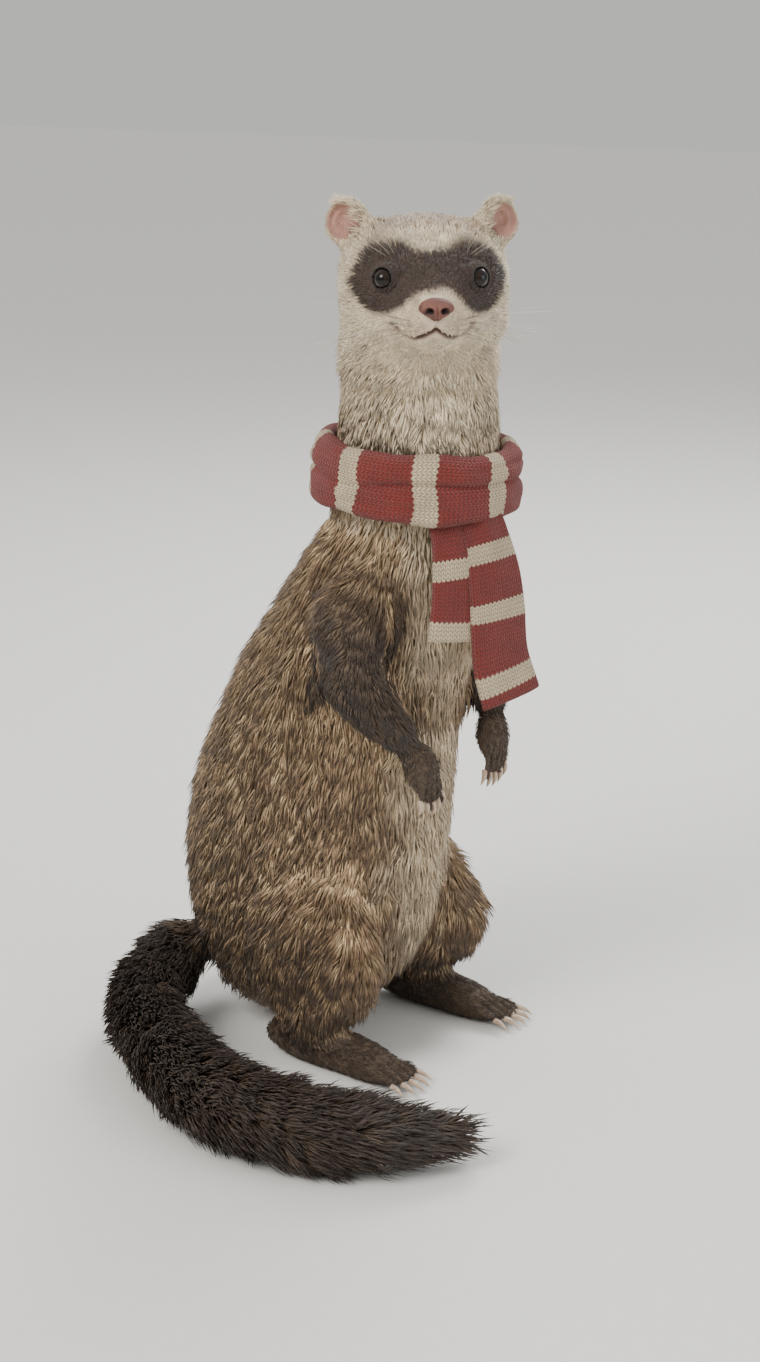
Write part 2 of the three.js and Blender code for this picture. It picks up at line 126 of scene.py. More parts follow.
# %% Camera
CAMERA_TURN = math.radians(-55)
CAMERA_FAR = 900 * MM
CAMERA_UP = 420 * MM
AIM_ASIDE = -16 * MM
AIM_UP = 160 * MM
PIXEL = 0.4046 * MM
PHOTO_HEIGHT = 1362
SENSOR = 36

towards_camera = Vector((math.sin(CAMERA_TURN), -math.cos(CAMERA_TURN), 0))
across_view = Vector((math.cos(CAMERA_TURN), math.sin(CAMERA_TURN), 0))
aim = origin + across_view * AIM_ASIDE + Vector((0, 0, AIM_UP))
camera_data = bpy.data.cameras.new("camera")
camera = added("camera", camera_data)
camera.location = origin + across_view * AIM_ASIDE + towards_camera * CAMERA_FAR
camera.location.z = CAMERA_UP
line_of_sight = aim - camera.location
camera.rotation_euler = line_of_sight.to_track_quat("-Z", "Y").to_euler()
camera_data.sensor_width = SENSOR
camera_data.lens = line_of_sight.length / PIXEL / PHOTO_HEIGHT * SENSOR
camera_data.clip_start = 0.05
bpy.context.scene.camera = camera
print("lens:", round(camera_data.lens, 2), "mm")

# %% [markdown]
# A material is a small graph of nodes. A few helpers keep each recipe short: they start a
# material, add a node with its settings, do arithmetic, mix two colours and raise a bump. Each
# input takes a constant or the output of another node.

# %% Helpers for materials
def new_material(name, base=(0.8, 0.8, 0.8), roughness=0.6, **settings):
    material = bpy.data.materials.new(name)
    material.use_nodes = True
    shader = material.node_tree.nodes["Principled BSDF"]
    shader.inputs["Base Color"].default_value = (*base, 1)
    shader.inputs["Roughness"].default_value = roughness
    for socket, value in settings.items():
        shader.inputs[socket.replace("_", " ")].default_value = value
    return material, material.node_tree, shader


def feed(tree, socket, value):
    if isinstance(value, bpy.types.NodeSocket):
        tree.links.new(value, socket)
    else:
        socket.default_value = value


def add_node(tree, kind, settings=None, **inputs):
    node = tree.nodes.new(kind)
    for name, value in (settings or {}).items():
        setattr(node, name, value)
    for name, value in inputs.items():
        feed(tree, node.inputs[name.replace("_", " ")], value)
    return node


def maths(tree, operation, *values):
    node = add_node(tree, "ShaderNodeMath", {"operation": operation})
    for socket, value in zip(node.inputs, values):
        feed(tree, socket, value)
    return node.outputs[0]


# A mix node has sockets for numbers, vectors and colours, and these are the ones for colours.
MIX_FACTOR, MIX_FIRST, MIX_SECOND, MIX_RESULT = 0, 6, 7, 2


def mixed(tree, factor, first, second, blend_type="MIX"):
    node = add_node(tree, "ShaderNodeMix", {"data_type": "RGBA", "blend_type": blend_type})
    feed(tree, node.inputs[MIX_FACTOR], factor)
    for index, colour in ((MIX_FIRST, first), (MIX_SECOND, second)):
        feed(tree, node.inputs[index], (*colour, 1) if isinstance(colour, tuple) else colour)
    return node.outputs[MIX_RESULT]


def bumped(tree, shader, height, distance, strength=1.0):
    bump = add_node(tree, "ShaderNodeBump", None, Strength=strength, Distance=distance)
    tree.links.new(height, bump.inputs["Height"])
    tree.links.new(bump.outputs["Normal"], shader.inputs["Normal"])


def new_group(name, vectors, numbers, results):
    """A node group with its sockets, and the nodes where it starts and ends."""
    group = bpy.data.node_groups.new(name, "ShaderNodeTree")
    for labels, way, kind in ((vectors, "INPUT", "Vector"), (numbers, "INPUT", "Float"),
                              (results, "OUTPUT", "Float")):
        for label in labels:
            group.interface.new_socket(label, in_out=way, socket_type="NodeSocket" + kind)
    return group, group.nodes.new("NodeGroupInput"), group.nodes.new("NodeGroupOutput")


print("helpers are ready")

# %% [markdown]
# Hair, wool, horn and skin all vary a little from spot to spot. That is one effect in several
# materials, so it is a node group: noise between a low and a high value, which shades a colour.

# %% A node group for fine variation
fine_variation, entry, leave = new_group("fine_variation", ["Place"],
                                         ["Scale", "Low", "High"], ["Shade"])
noise = add_node(fine_variation, "ShaderNodeTexNoise", None, Vector=entry.outputs["Place"],
                 Scale=entry.outputs["Scale"], Detail=3.0)
spread = add_node(fine_variation, "ShaderNodeMapRange", None, Value=noise.outputs["Fac"],
                  From_Min=0.25, From_Max=0.75,
                  To_Min=entry.outputs["Low"], To_Max=entry.outputs["High"])
fine_variation.links.new(spread.outputs["Result"], leave.inputs["Shade"])


def varied(tree, scale, low, high):
    """A value that varies over the surface of a piece."""
    coordinates = add_node(tree, "ShaderNodeTexCoord")
    return add_node(tree, "ShaderNodeGroup", {"node_tree": fine_variation},
                    Place=coordinates.outputs["Object"],
                    Scale=float(scale), Low=low, High=high).outputs["Shade"]


def shaded(tree, colour, shade):
    """A colour made darker or lighter by a value."""
    return mixed(tree, 1.0, colour, shade, "MULTIPLY")


def painted_material(name, scale, low, high, **settings):
    """A material whose colour is the one painted on the piece's corners, finely varied."""
    material, tree, shader = new_material(name, **settings)
    marking = add_node(tree, "ShaderNodeVertexColor", {"layer_name": "marking"}).outputs["Color"]
    tree.links.new(shaded(tree, marking, varied(tree, scale, low, high)), shader.inputs["Base Color"])
    return material, tree, shader


print("group sockets:", [item.name for item in fine_variation.interface.items_tree])

# %% [markdown]
# The floor is one plain pale sheet. Near the horizon the studio's light has the floor's own tone,
# so no hard line crosses the picture behind the animal.

# %% Floor and lights
FLOOR_HALF = 6
FLOOR_TONE = (0.74, 0.73, 0.7)
HORIZON_TONE = (0.635, 0.63, 0.61)
OVERHEAD_TONE = (0.92, 0.92, 0.9)

shape = bmesh.new()
bmesh.ops.create_grid(shape, x_segments=1, y_segments=1, size=FLOOR_HALF)
floor = object_from("floor", shape)
floor_look, tree, shader = new_material("pale_floor", FLOOR_TONE, 0.85)
tree.links.new(shaded(tree, FLOOR_TONE, varied(tree, 140, 0.985, 1.015)), shader.inputs["Base Color"])
floor.data.materials.append(floor_look)

# Each light: metres towards the camera, across the view and up, then its size, power and colour.
LIGHTS = {"key_light": (0.9, -0.8, 1.0, 0.7, 21, (1, 0.97, 0.93)),
          "fill_light": (0.7, 1.2, 0.4, 1.0, 8, (0.93, 0.96, 1)),
          "rim_light": (-0.9, 0.4, 0.9, 0.6, 14, (1, 1, 1))}
for name, (near, aside, above, size, power, colour) in LIGHTS.items():
    data = bpy.data.lights.new(name, "AREA")
    data.size, data.energy, data.color = size, power, colour
    light = added(name, data)
    way = towards_camera * near + across_view * aside + Vector((0, 0, above))
    light.location = aim + way
    light.rotation_euler = (-way).to_track_quat("-Z", "Y").to_euler()
world = bpy.data.worlds.new("studio")
world.use_nodes = True
tree = world.node_tree
upness = add_node(tree, "ShaderNodeSeparateXYZ", None,
                  Vector=add_node(tree, "ShaderNodeTexCoord").outputs["Generated"]).outputs["Z"]
height_share = add_node(tree, "ShaderNodeMapRange", None, Value=upness, From_Min=0.12, From_Max=0.55)
tree.links.new(mixed(tree, height_share.outputs["Result"], HORIZON_TONE, OVERHEAD_TONE),
               tree.nodes["Background"].inputs["Color"])
tree.nodes["Background"].inputs["Strength"].default_value = 0.95
bpy.context.scene.world = world
print("stage is set")

# %% [markdown]
# ## One skin
# A real animal has one skin without seams, while the solids are parted where a person names the
# parts. Copies of all the fleshy solids are joined, and a voxel remesh melts them into one
# closed surface. The tail is joined as a slim core, because its coat is long and stands off.

# %% Copies of the fleshy solids, joined
FLESH = [n for n in nodes if n.split("_")[0] in
         ("torso", "neck", "head", "nose", "ear", "eye", "foreleg", "forepaw", "haunch", "hind")]
TAIL_NODES = [n for n in nodes if n.startswith("tail")]
GROW = 0.25 * MM
TAIL_COURSE = [(0, -84, 40), (-20, -104, 29), (-56, -99, 22), (-88, -70, 19.5),
               (-115, -19, 19), (-113, 33, 17), (-78, 76, 12.5)]
TAIL_REACH = [17.3, 20.2, 22.8, 24, 24, 20.6, 8.6]
TAIL_CORE_SHARE = 0.42


def smooth_course(points, steps):
    """Points at even shares of a smooth line through the given ones."""
    points = [np.array(p, float) for p in points]
    ends = [2 * points[0] - points[1], *points, 2 * points[-1] - points[-2]]
    line = []
    for i in range(1, len(ends) - 2):
        for t in np.linspace(0, 1, 24, endpoint=False):
            a, b, c, d = ends[i - 1:i + 3]
            line.append(0.5 * (2 * b + (c - a) * t + (2 * a - 5 * b + 4 * c - d) * t ** 2
                               + (3 * b - a - 3 * c + d) * t ** 3))
    line.append(points[-1])
    line = np.array(line)
    along = np.r_[0, np.cumsum(np.linalg.norm(np.diff(line, axis=0), axis=1))]
    even = np.linspace(0, along[-1], steps)
    return np.stack([np.interp(even, along, line[:, k]) for k in range(3)], 1), along[-1]


def joined_solids():
    """One bmesh with a merged copy of each fleshy solid, each grown a hair so that they touch."""
    whole = bmesh.new()
    owner = []
    for name in FLESH:
        part = bmesh.new()
        part.from_mesh(nodes[name].data)
        bmesh.ops.remove_doubles(part, verts=part.verts, dist=1e-6)
        part.normal_update()
        for v in part.verts:
            v.co += v.normal * GROW
        mesh = bpy.data.meshes.new("copy")
        part.to_mesh(mesh)
        part.free()
        whole.from_mesh(mesh)
        owner += [name] * len(mesh.polygons)
        bpy.data.meshes.remove(mesh)
    return whole, owner


solids, face_owner = joined_solids()
owner_tree = BVHTree.FromBMesh(solids)
print("faces of flesh:", len(face_owner))

# %% [markdown]
# The tail's core is a tube along a smooth line. A circle is set at each step of the line and
# bridged to the one before it, which is what a loft does.

# %% Core of the tail
TAIL_SIDES = 16
TAIL_STEPS = 40
TAIL_ROUNDED = 34  # the step where the end begins to round off

tail_line, tail_length = smooth_course(TAIL_COURSE, TAIL_STEPS)
tail_reach = np.interp(np.linspace(0, 1, TAIL_STEPS), np.linspace(0, 1, len(TAIL_REACH)), TAIL_REACH)
loops = []
for i, centre in enumerate(tail_line):
    ahead = Vector(tail_line[min(i + 1, TAIL_STEPS - 1)] - tail_line[max(i - 1, 0)])
    spin = Vector((ahead.x, -ahead.y, ahead.z)).to_track_quat("Z", "Y").to_matrix().to_4x4()
    end = math.sqrt(max(0.04, 1 - (max(0, i - TAIL_ROUNDED) / 5.2) ** 2))
    made = bmesh.ops.create_circle(
        solids, segments=TAIL_SIDES, radius=tail_reach[i] * TAIL_CORE_SHARE * end * MM,
        matrix=Matrix.Translation(place(*centre)) @ spin)
    loops.append([e for e in solids.edges if e.is_wire and e.verts[0] in set(made["verts"])])
for first, second in zip(loops, loops[1:]):
    bmesh.ops.bridge_loops(solids, edges=first + second)
bmesh.ops.holes_fill(solids, edges=loops[0] + loops[-1])
tube = [f for f in solids.faces if f.index < 0 or f.index >= len(face_owner)]
bmesh.ops.recalc_face_normals(solids, faces=tube)
print("tail length:", round(tail_length), "mm")

# %% [markdown]
# A voxel remesh reads the joined copies as one volume and wraps it in even squares. Small closed
# scraps that it leaves inside are taken out.

# %% Melt them into one closed surface
VOXEL = 1.62 * MM

skin = object_from("skin", solids)
remesh = skin.modifiers.new("melt", "REMESH")
remesh.mode = "VOXEL"
remesh.voxel_size = VOXEL
evaluated = skin.evaluated_get(bpy.context.evaluated_depsgraph_get())
melted = bmesh.new()
melted.from_mesh(bpy.data.meshes.new_from_object(evaluated).copy())
skin.modifiers.clear()


def keep_largest(shape):
    """Keeps the largest closed surface, and tells how many there were."""
    shape.verts.ensure_lookup_table()
    seen = set()
    islands = []
    for start in shape.verts:
        if start.index in seen:
            continue
        island = [start]
        seen.add(start.index)
        for v in island:
            for e in v.link_edges:
                other = e.other_vert(v)
                if other.index not in seen:
                    seen.add(other.index)
                    island.append(other)
        islands.append(island)
    islands.sort(key=len)
    bmesh.ops.delete(shape, geom=[v for island in islands[:-1] for v in island], context="VERTS")
    shape.verts.index_update()
    return len(islands)


print("surfaces:", keep_largest(melted), "corners:", len(melted.verts))

# %% [markdown]
# ## Fields on the skin
# How deep the coat is, how long and in what direction the hair lies: each is a value at every
# point of the skin. A value is first set by body part, and then averaged with its neighbours
# many times, so that it changes gently from one part to the next.

# %% Arrays of the skin and averaging over neighbours
def arrays_of(shape):
    shape.verts.ensure_lookup_table()
    points = np.array([v.co for v in shape.verts])
    pairs = np.array([(e.verts[0].index, e.verts[1].index) for e in shape.edges])
    return points, pairs


def averaged(values, pairs, rounds, share=0.5):
    """values averaged with those of their neighbours; share may differ from point to point."""
    count = len(values)
    links = np.bincount(pairs.ravel(), minlength=count).astype(float)
    columns = values.reshape(count, -1).astype(float)
    weight = share if np.isscalar(share) else np.asarray(share)[:, None]
    for _ in range(rounds):
        around = np.stack([
            np.bincount(pairs[:, 0], c[pairs[:, 1]], count)
            + np.bincount(pairs[:, 1], c[pairs[:, 0]], count)
            for c in columns.T], 1)
        columns = columns + weight * (around / links[:, None] - columns)
    return columns.reshape(values.shape)


def step_between(value, low, high):
    """0 below low, 1 above high and a smooth ramp between."""
    t = np.clip((value - low) / (high - low), 0, 1)
    return t * t * (3 - 2 * t)


def unit(vectors):
    return vectors / np.maximum(np.linalg.norm(vectors, axis=-1, keepdims=True), 1e-12)


points, pairs = arrays_of(melted)
tail_points = np.array([place(*p) for p in tail_line])
tail_tree = kdtree.KDTree(len(tail_points))
for i, p in enumerate(tail_points):
    tail_tree.insert(p, i)
tail_tree.balance()
PARTS = ["torso", "neck", "head", "ear", "foreleg", "forepaw", "haunch", "hind", "tail"]


def part_numbers(all_points):
    """For each point, the part whose solid is nearest, or the tail's where its core is near."""
    found = np.zeros(len(all_points), int)
    for i, p in enumerate(all_points):
        _, _, face, near = owner_tree.find_nearest(Vector(p))
        name = face_owner[face].split("_")[0]
        name = {"nose": "head", "eye": "head"}.get(name, name)
        _, step, gap = tail_tree.find(p)
        if gap < tail_reach[step] * TAIL_CORE_SHARE * MM * 1.25 and near > 0.5 * MM:
            name = "tail"
        found[i] = PARTS.index(name)
    return found


def among(numbers, *names):
    """True where the part is one of these."""
    return np.isin(numbers, [PARTS.index(name) for name in names])


part = part_numbers(points)
print({name: int((part == i).sum()) for i, name in enumerate(PARTS)})

# %% [markdown]
# The solids end where the coat does. So the skin is first rounded by averaging, more on the trunk
# than on the ears and paws, and then drawn in along its normals by the depth of the coat.

# %% Round off the facets, then draw the skin in by the depth of the coat
ROUNDING = dict(torso=0.6, neck=0.6, head=0.32, ear=0.12, foreleg=0.45, forepaw=0.16,
                haunch=0.6, hind=0.18, tail=0.5)
DEPTH = dict(torso=5.2, neck=4.6, head=2.6, ear=0.35, foreleg=2.6, forepaw=0.7,
             haunch=4.2, hind=0.8, tail=0.0)


def by_part(table):
    return np.array([table[name] for name in PARTS])[part]


# The hair at the elbow is grown later, so its locks are pressed flat here.
side, ahead, high = body_places(points)
ELBOW_BACK = -14
ELBOW_PRESS = 0.8
elbow_locks = among(part, "foreleg") & (ahead < ELBOW_BACK) & (high < 190)
points[:, 1] += np.where(elbow_locks, ELBOW_PRESS * (ahead - ELBOW_BACK), 0) * MM
points = averaged(points, pairs, 70, 0.7 * averaged(elbow_locks * 1.0, pairs, 14))
rounding = averaged(by_part(ROUNDING), pairs, 12)
points = averaged(points, pairs, 26, rounding)


def normals_at(shape, moved):
    for v, p in zip(shape.verts, moved):
        v.co = p
    shape.normal_update()
    return np.array([v.normal for v in shape.verts])


normals = normals_at(melted, points)
left, fore, up = head_places(points)
depth = by_part(DEPTH)
muzzle = np.clip((fore - 20) / 14, 0, 1) * among(part, "head")
depth = averaged(depth * (1 - 0.75 * muzzle), pairs, 30)
smooth_normals = unit(averaged(normals, pairs, 6))
points = points - smooth_normals * depth[:, None] * MM
points = averaged(points, pairs, 4, 0.3)
normals = normals_at(melted, points)
print("coat depth:", round(float(depth.min()), 1), "to", round(float(depth.max()), 1), "mm")

# %% [markdown]
# ## Face, ears and toes
# The remesh is too coarse for lids, lips, the cups of the ears and toes, so these places are
# subdivided, and then each feature is pressed or raised as a small field: a dent along the line
# of the mouth, a crease under the nose, lids that hug the eyeballs, furrows between the toes.

# %% More corners on the face, the ears and the toes
EYES = [on_head(side * 16.6, 23.2, 6.2) for side in (-1, 1)]
EYE_LOOK = [head_direction(side * 0.62, 0.75, 0.14) for side in (-1, 1)]
EYE_RADIUS = 4.7
NOSE = on_head(0, 42, -2)

# Each paw: middle knuckle and middle toe tip, the way out of the paw's back, width and claw length.
PAWS = [((side * 25, 20, 129), (side * 23, 22, 118), (0, 1, 0.12), 9.6, 4.2) for side in (-1, 1)]
PAWS += [((side * 38, 9, 5.5), (side * 39, 24, 4.2), (0, 0, 1), 11.4, 5.0) for side in (-1, 1)]


def middles_of(shape):
    return np.array([face.calc_center_median() for face in shape.faces])


def more_corners(shape, chosen):
    """Halves the edges of the chosen faces."""
    shape.edges.index_update()
    edges = {e for face, picked in zip(shape.faces, chosen) if picked for e in face.edges}
    edges = sorted(edges, key=lambda e: e.index)
    bmesh.ops.subdivide_edges(shape, edges=edges, cuts=1, use_grid_fill=True)
    bmesh.ops.triangulate(shape, faces=[f for f in shape.faces if len(f.verts) > 4])
    shape.verts.index_update()
    points, pairs = arrays_of(shape)
    return points, pairs, part_numbers(points)


middles = middles_of(melted)
left, fore, up = head_places(middles)
side, ahead, high = body_places(middles)
owners = part_numbers(middles)
on_front = (fore > 9) & (np.sqrt(left ** 2 + fore ** 2 + up ** 2) < 60)
on_toes = (among(owners, "forepaw") & (high < 136)) | (among(owners, "hind") & (ahead > 3))
points, pairs, part = more_corners(melted, on_front | on_toes | among(owners, "ear"))
normals = normals_at(melted, points)
skin_tree = BVHTree.FromBMesh(melted)
print("corners now:", len(points))

# %% [markdown]
# The mouth is a line on the skin, found by rays from a place inside the head. It falls from the
# middle to each side and rises again to the corners. Many later fields ask how far it is.

# %% The line of the mouth
def skin_hit(start, towards):
    """Where a line from inside the head meets the skin."""
    hit = skin_tree.ray_cast(start, towards.normalized())[0]
    return np.array(hit)


MOUTH_CORNER = math.radians(74)
MOUTH_STEPS = 41


def mouth_points():
    line = []
    for share in np.linspace(-1, 1, MOUTH_STEPS):
        turn = MOUTH_CORNER * share
        fall = -0.26 * math.sin(math.pi * min(1, abs(share) * 1.1)) - 0.04
        towards = head_turned @ Vector((math.sin(turn), -math.cos(turn), fall))
        line.append(skin_hit(on_head(0, 24, -9), towards))
    return np.array(line)


def distance_to_line(all_points, line):
    """Distance in millimetres from each point to the nearest piece of a line."""
    best = np.full(len(all_points), 1e9)
    for a, b in zip(line, line[1:]):
        step = b - a
        t = np.clip(((all_points - a) @ step) / (step @ step), 0, 1)
        best = np.minimum(best, np.linalg.norm(all_points - a - t[:, None] * step, axis=1))
    return best / MM


mouth = mouth_points()

# The lids and lips need corners twice as close again.
middles = middles_of(melted)
to_eye = np.min([np.linalg.norm(middles - np.array(eye), axis=1) for eye in EYES], axis=0) / MM
on_lips = (distance_to_line(middles, mouth) < 2.6) & (head_places(middles)[1] > 5)
points, pairs, part = more_corners(melted, (to_eye < 8.5) | on_lips)
points = averaged(points, pairs, 3, among(part, "head") * 0.5)
normals = normals_at(melted, points)
print("corners now:", len(points))

# %% [markdown]
# The lips are a cut with a low roll at each side, and a crease joins them to the nose. At each eye
# the skin is laid on a ball a little larger than the eyeball, and opens in an almond before it.

# %% Lips, crease under the nose and lids
mouth_middle = mouth[MOUTH_STEPS // 2]
under_nose = (mouth_middle + np.array(NOSE)) / 2 + np.array(head_direction(0, 1, 0)) * MM
philtrum = np.array([mouth_middle, under_nose, NOSE])
left, fore, up = head_places(points)
on_face = (fore > 5) & (np.abs(up) < 40)
to_mouth = distance_to_line(points, mouth)
to_philtrum = distance_to_line(points, philtrum)
lip = 0.5 * np.exp(-((to_mouth - 1.7) / 0.9) ** 2) - 1.3 * np.exp(-(to_mouth / 0.6) ** 2)
crease = -0.7 * np.exp(-(to_philtrum / 0.5) ** 2)
points = points + normals * ((lip + crease) * on_face)[:, None] * MM


# Half the width of the opening, its height above and below the middle, and the lid's thickness.
LID_HALF = 4.2
LID_ABOVE = 3.95
LID_BELOW = 3.7
LID_THICK = 0.62


def lids(all_points, eye, look):
    """The points with those near an eye laid on its ball, and how far each is from the opening."""
    look = np.array(look)
    side = 1 if (look @ HEAD_AXES)[0] > 0 else -1
    outward = np.array(head_turned @ Vector((side, 0, 0)))
    aside = unit(outward - look * (outward @ look))
    upright = unit(np.cross(look, aside) * side)
    upright = upright * np.sign((upright @ HEAD_AXES)[2])
    offset = (all_points - np.array(eye)) / MM
    along, x, y = offset @ look, offset @ aside, offset @ upright
    radius = np.hypot(x, y)
    opening = np.hypot(x / LID_HALF, (y - 0.1) / np.where(y > 0, LID_ABOVE, LID_BELOW))
    near = (along > -1) & (radius < 12)
    ball = np.sqrt((EYE_RADIUS + LID_THICK) ** 2 - np.minimum(radius, LID_HALF) ** 2)
    rim = np.exp(-((opening - 1.1) / 0.1) ** 2) * 0.3
    laid = np.where(opening > 1, ball + rim - 3.6 * (opening - 1), -2.5)
    hold = step_between(-opening, -2.1, -1.15)
    moved = all_points + (look * MM) * ((laid - along) * hold * near)[:, None]
    return moved, np.where(near, opening, 9.0)


eye_opening = np.full(len(points), 9.0)
for eye, look in zip(EYES, EYE_LOOK):
    points, opening = lids(points, eye, look)
    eye_opening = np.minimum(eye_opening, opening)
normals = normals_at(melted, points)
print("mouth width:", round(float(np.linalg.norm(mouth[0] - mouth[-1]) / MM), 1), "mm")

# %% [markdown]
# A ferret's ear is a shallow cup with a bare, pink inside, a low fold across it and a canal near
# its foot, whose shade is painted later. Points on its front are laid on the wall of an egg-shaped
# hollow.

# %% Cups of the ears
EAR_TURNS = (math.radians(-8), math.radians(38), math.radians(24))
EAR_ASIDE, EAR_BACK, EAR_UP = 27, 6, 20.5
CUP_ACROSS, CUP_TALL = 7.9, 7.7


def ear_places(where, side):
    """Across, back and up in millimetres in one ear's own frame, and the frame's axes."""
    turned = (Matrix.Rotation(side * EAR_TURNS[2], 3, "Z") @ Matrix.Rotation(side * EAR_TURNS[1], 3, "Y")
              @ Matrix.Rotation(EAR_TURNS[0], 3, "X"))
    local = (where - np.array(head_middle)) @ HEAD_AXES / MM
    local = local - np.array([side * EAR_ASIDE, EAR_BACK, EAR_UP])
    return local @ np.array(turned), np.array(head_turned @ turned)


ear_cup = np.full(len(points), 9.0)
ear_canal = np.zeros(len(points))
ear_inward = np.zeros(len(points))
for side in (-1, 1):
    local, ear_axes = ear_places(points, side)
    share = np.hypot(local[:, 0] / CUP_ACROSS, (local[:, 2] - 4) / CUP_TALL)
    facing = (normals @ ear_axes)[:, 1] < 0.25
    inside = among(part, "ear") & facing & (share < 1.12) & (np.abs(local[:, 1]) < 9)
    wall = -4.4 + 6 * np.sqrt(np.maximum(0, 1 - np.minimum(share, 1) ** 2))
    fold = 0.8 * np.exp(-((share - 0.6) / 0.1) ** 2) * np.clip((local[:, 2] - 2) / 4, 0, 1)
    canal = 1.5 * np.exp(-(np.hypot(local[:, 0], local[:, 2] + 0.5) / 2.2) ** 2)
    hold = np.clip((1.02 - share) / 0.22, 0, 1) * inside
    backwards = (wall - fold + canal - local[:, 1]) * hold
    points = points + ear_axes[:, 1] * (backwards * MM)[:, None]
    ear_cup = np.where(inside, share, ear_cup)
    ear_canal = np.where(inside, canal / 1.5, ear_canal)
    ear_inward = np.where(inside, -side * local[:, 0], ear_inward)
normals = normals_at(melted, points)
print("places in the ears' cups:", int((ear_cup < 1).sum()))

# %% [markdown]
# Five toes show as four furrows, in the skin as on the real paw. The place across the paw, in toe
# widths, tells where the furrows run, and a forepaw also has bare pads on its palm.

# %% Toes and pads
FURROW_DEEP = 1.35
PAD_RAISED = 0.5

furrow = np.zeros(len(points))
pad = np.zeros(len(points))
side, ahead, high = body_places(points)
spots = np.stack([side, ahead, high], 1)
for knuckle, tip, lift, width, claw in PAWS:
    knuckle, tip, lift = (np.array(v, float) for v in (knuckle, tip, lift))
    reach = tip - knuckle
    t = ((spots - knuckle) @ reach) / (reach @ reach)
    toe = (spots[:, 0] - knuckle[0] - reach[0] * t) / (width * (0.31 + 0.09 * np.clip(t, 0, 1)))
    near = np.linalg.norm(spots - (knuckle + tip) / 2, axis=1) < width * 1.7
    near = near & among(part, "forepaw", "hind")
    along = np.clip((t + 0.3) / 0.6, 0, 1)
    cut = np.sin(math.pi * toe) ** 2 * (np.abs(toe) < 2) * along * near
    furrow = np.maximum(furrow, cut)
    palm = (normals * [1, -1, 1]) @ lift < -0.3
    toe_pad = np.exp(-((toe - np.round(toe)) / 0.34) ** 2 - ((t - 0.75) / 0.3) ** 2)
    toe_pad = toe_pad * (np.abs(toe) < 2.4)
    palm_pad = np.exp(-(toe / 1.7) ** 2 - ((t + 0.15) / 0.28) ** 2)
    pad = np.maximum(pad, np.maximum(toe_pad, palm_pad) * palm * near * (high > 60))
points = points + normals * ((PAD_RAISED * pad - FURROW_DEEP * furrow) * MM)[:, None]
normals = normals_at(melted, points)
print("deepest furrow:", round(FURROW_DEEP * float(furrow.max()), 2), "mm")

# %% [markdown]
# ## Markings
# A sable ferret has cream underfur under brown guard hair, dark legs and tail, a pale face with a
# dark mask, and pale rims on its ears. One function tells the colour anywhere, and both the skin
# and every tuft ask it, so they always agree.

# %% Colours of the coat as functions of place
CREAM = np.array([0.62, 0.45, 0.26])
PALE = np.array([0.76, 0.64, 0.46])
BROWN = np.array([0.115, 0.054, 0.024])
DARK = np.array([0.028, 0.015, 0.009])
PINK = np.array([0.55, 0.29, 0.22])


def wobble(where, size, seed):
    """Smooth noise from a few crossed waves, between -1 and 1."""
    random = np.random.default_rng(seed)
    total = np.zeros(len(where))
    for _ in range(6):
        wave = random.normal(size=3)
        wave *= 2 * math.pi / (size * MM) / np.linalg.norm(wave) * random.uniform(0.6, 1.5)
        total += np.sin(where @ wave + random.uniform(0, 6.28))
    return total / 6 ** 0.5 / 1.4


def blend(first, second, share):
    return first * (1 - share[:, None]) + second * share[:, None]


def mask_share(where):
    """1 inside the dark mask that crosses both eyes and the bridge of the nose."""
    side, ahead, high = head_places(where)
    side = np.abs(side)
    high = high + 0.7 * wobble(where, 14, 3)
    top = 15.4 + 2.9 * np.exp(-((side - 15) / 8) ** 2) - 0.12 * np.maximum(side - 19, 0) ** 2
    low = 3.2 - 9.8 * step_between(side, 3, 19) + 0.13 * np.maximum(side - 19.5, 0) ** 2
    inside = step_between(high, low - 1.5, low + 1.5) * (1 - step_between(high, top - 1.7, top + 1.7))
    return inside * (1 - step_between(side, 27.5, 31)) * step_between(ahead, -3, 3)


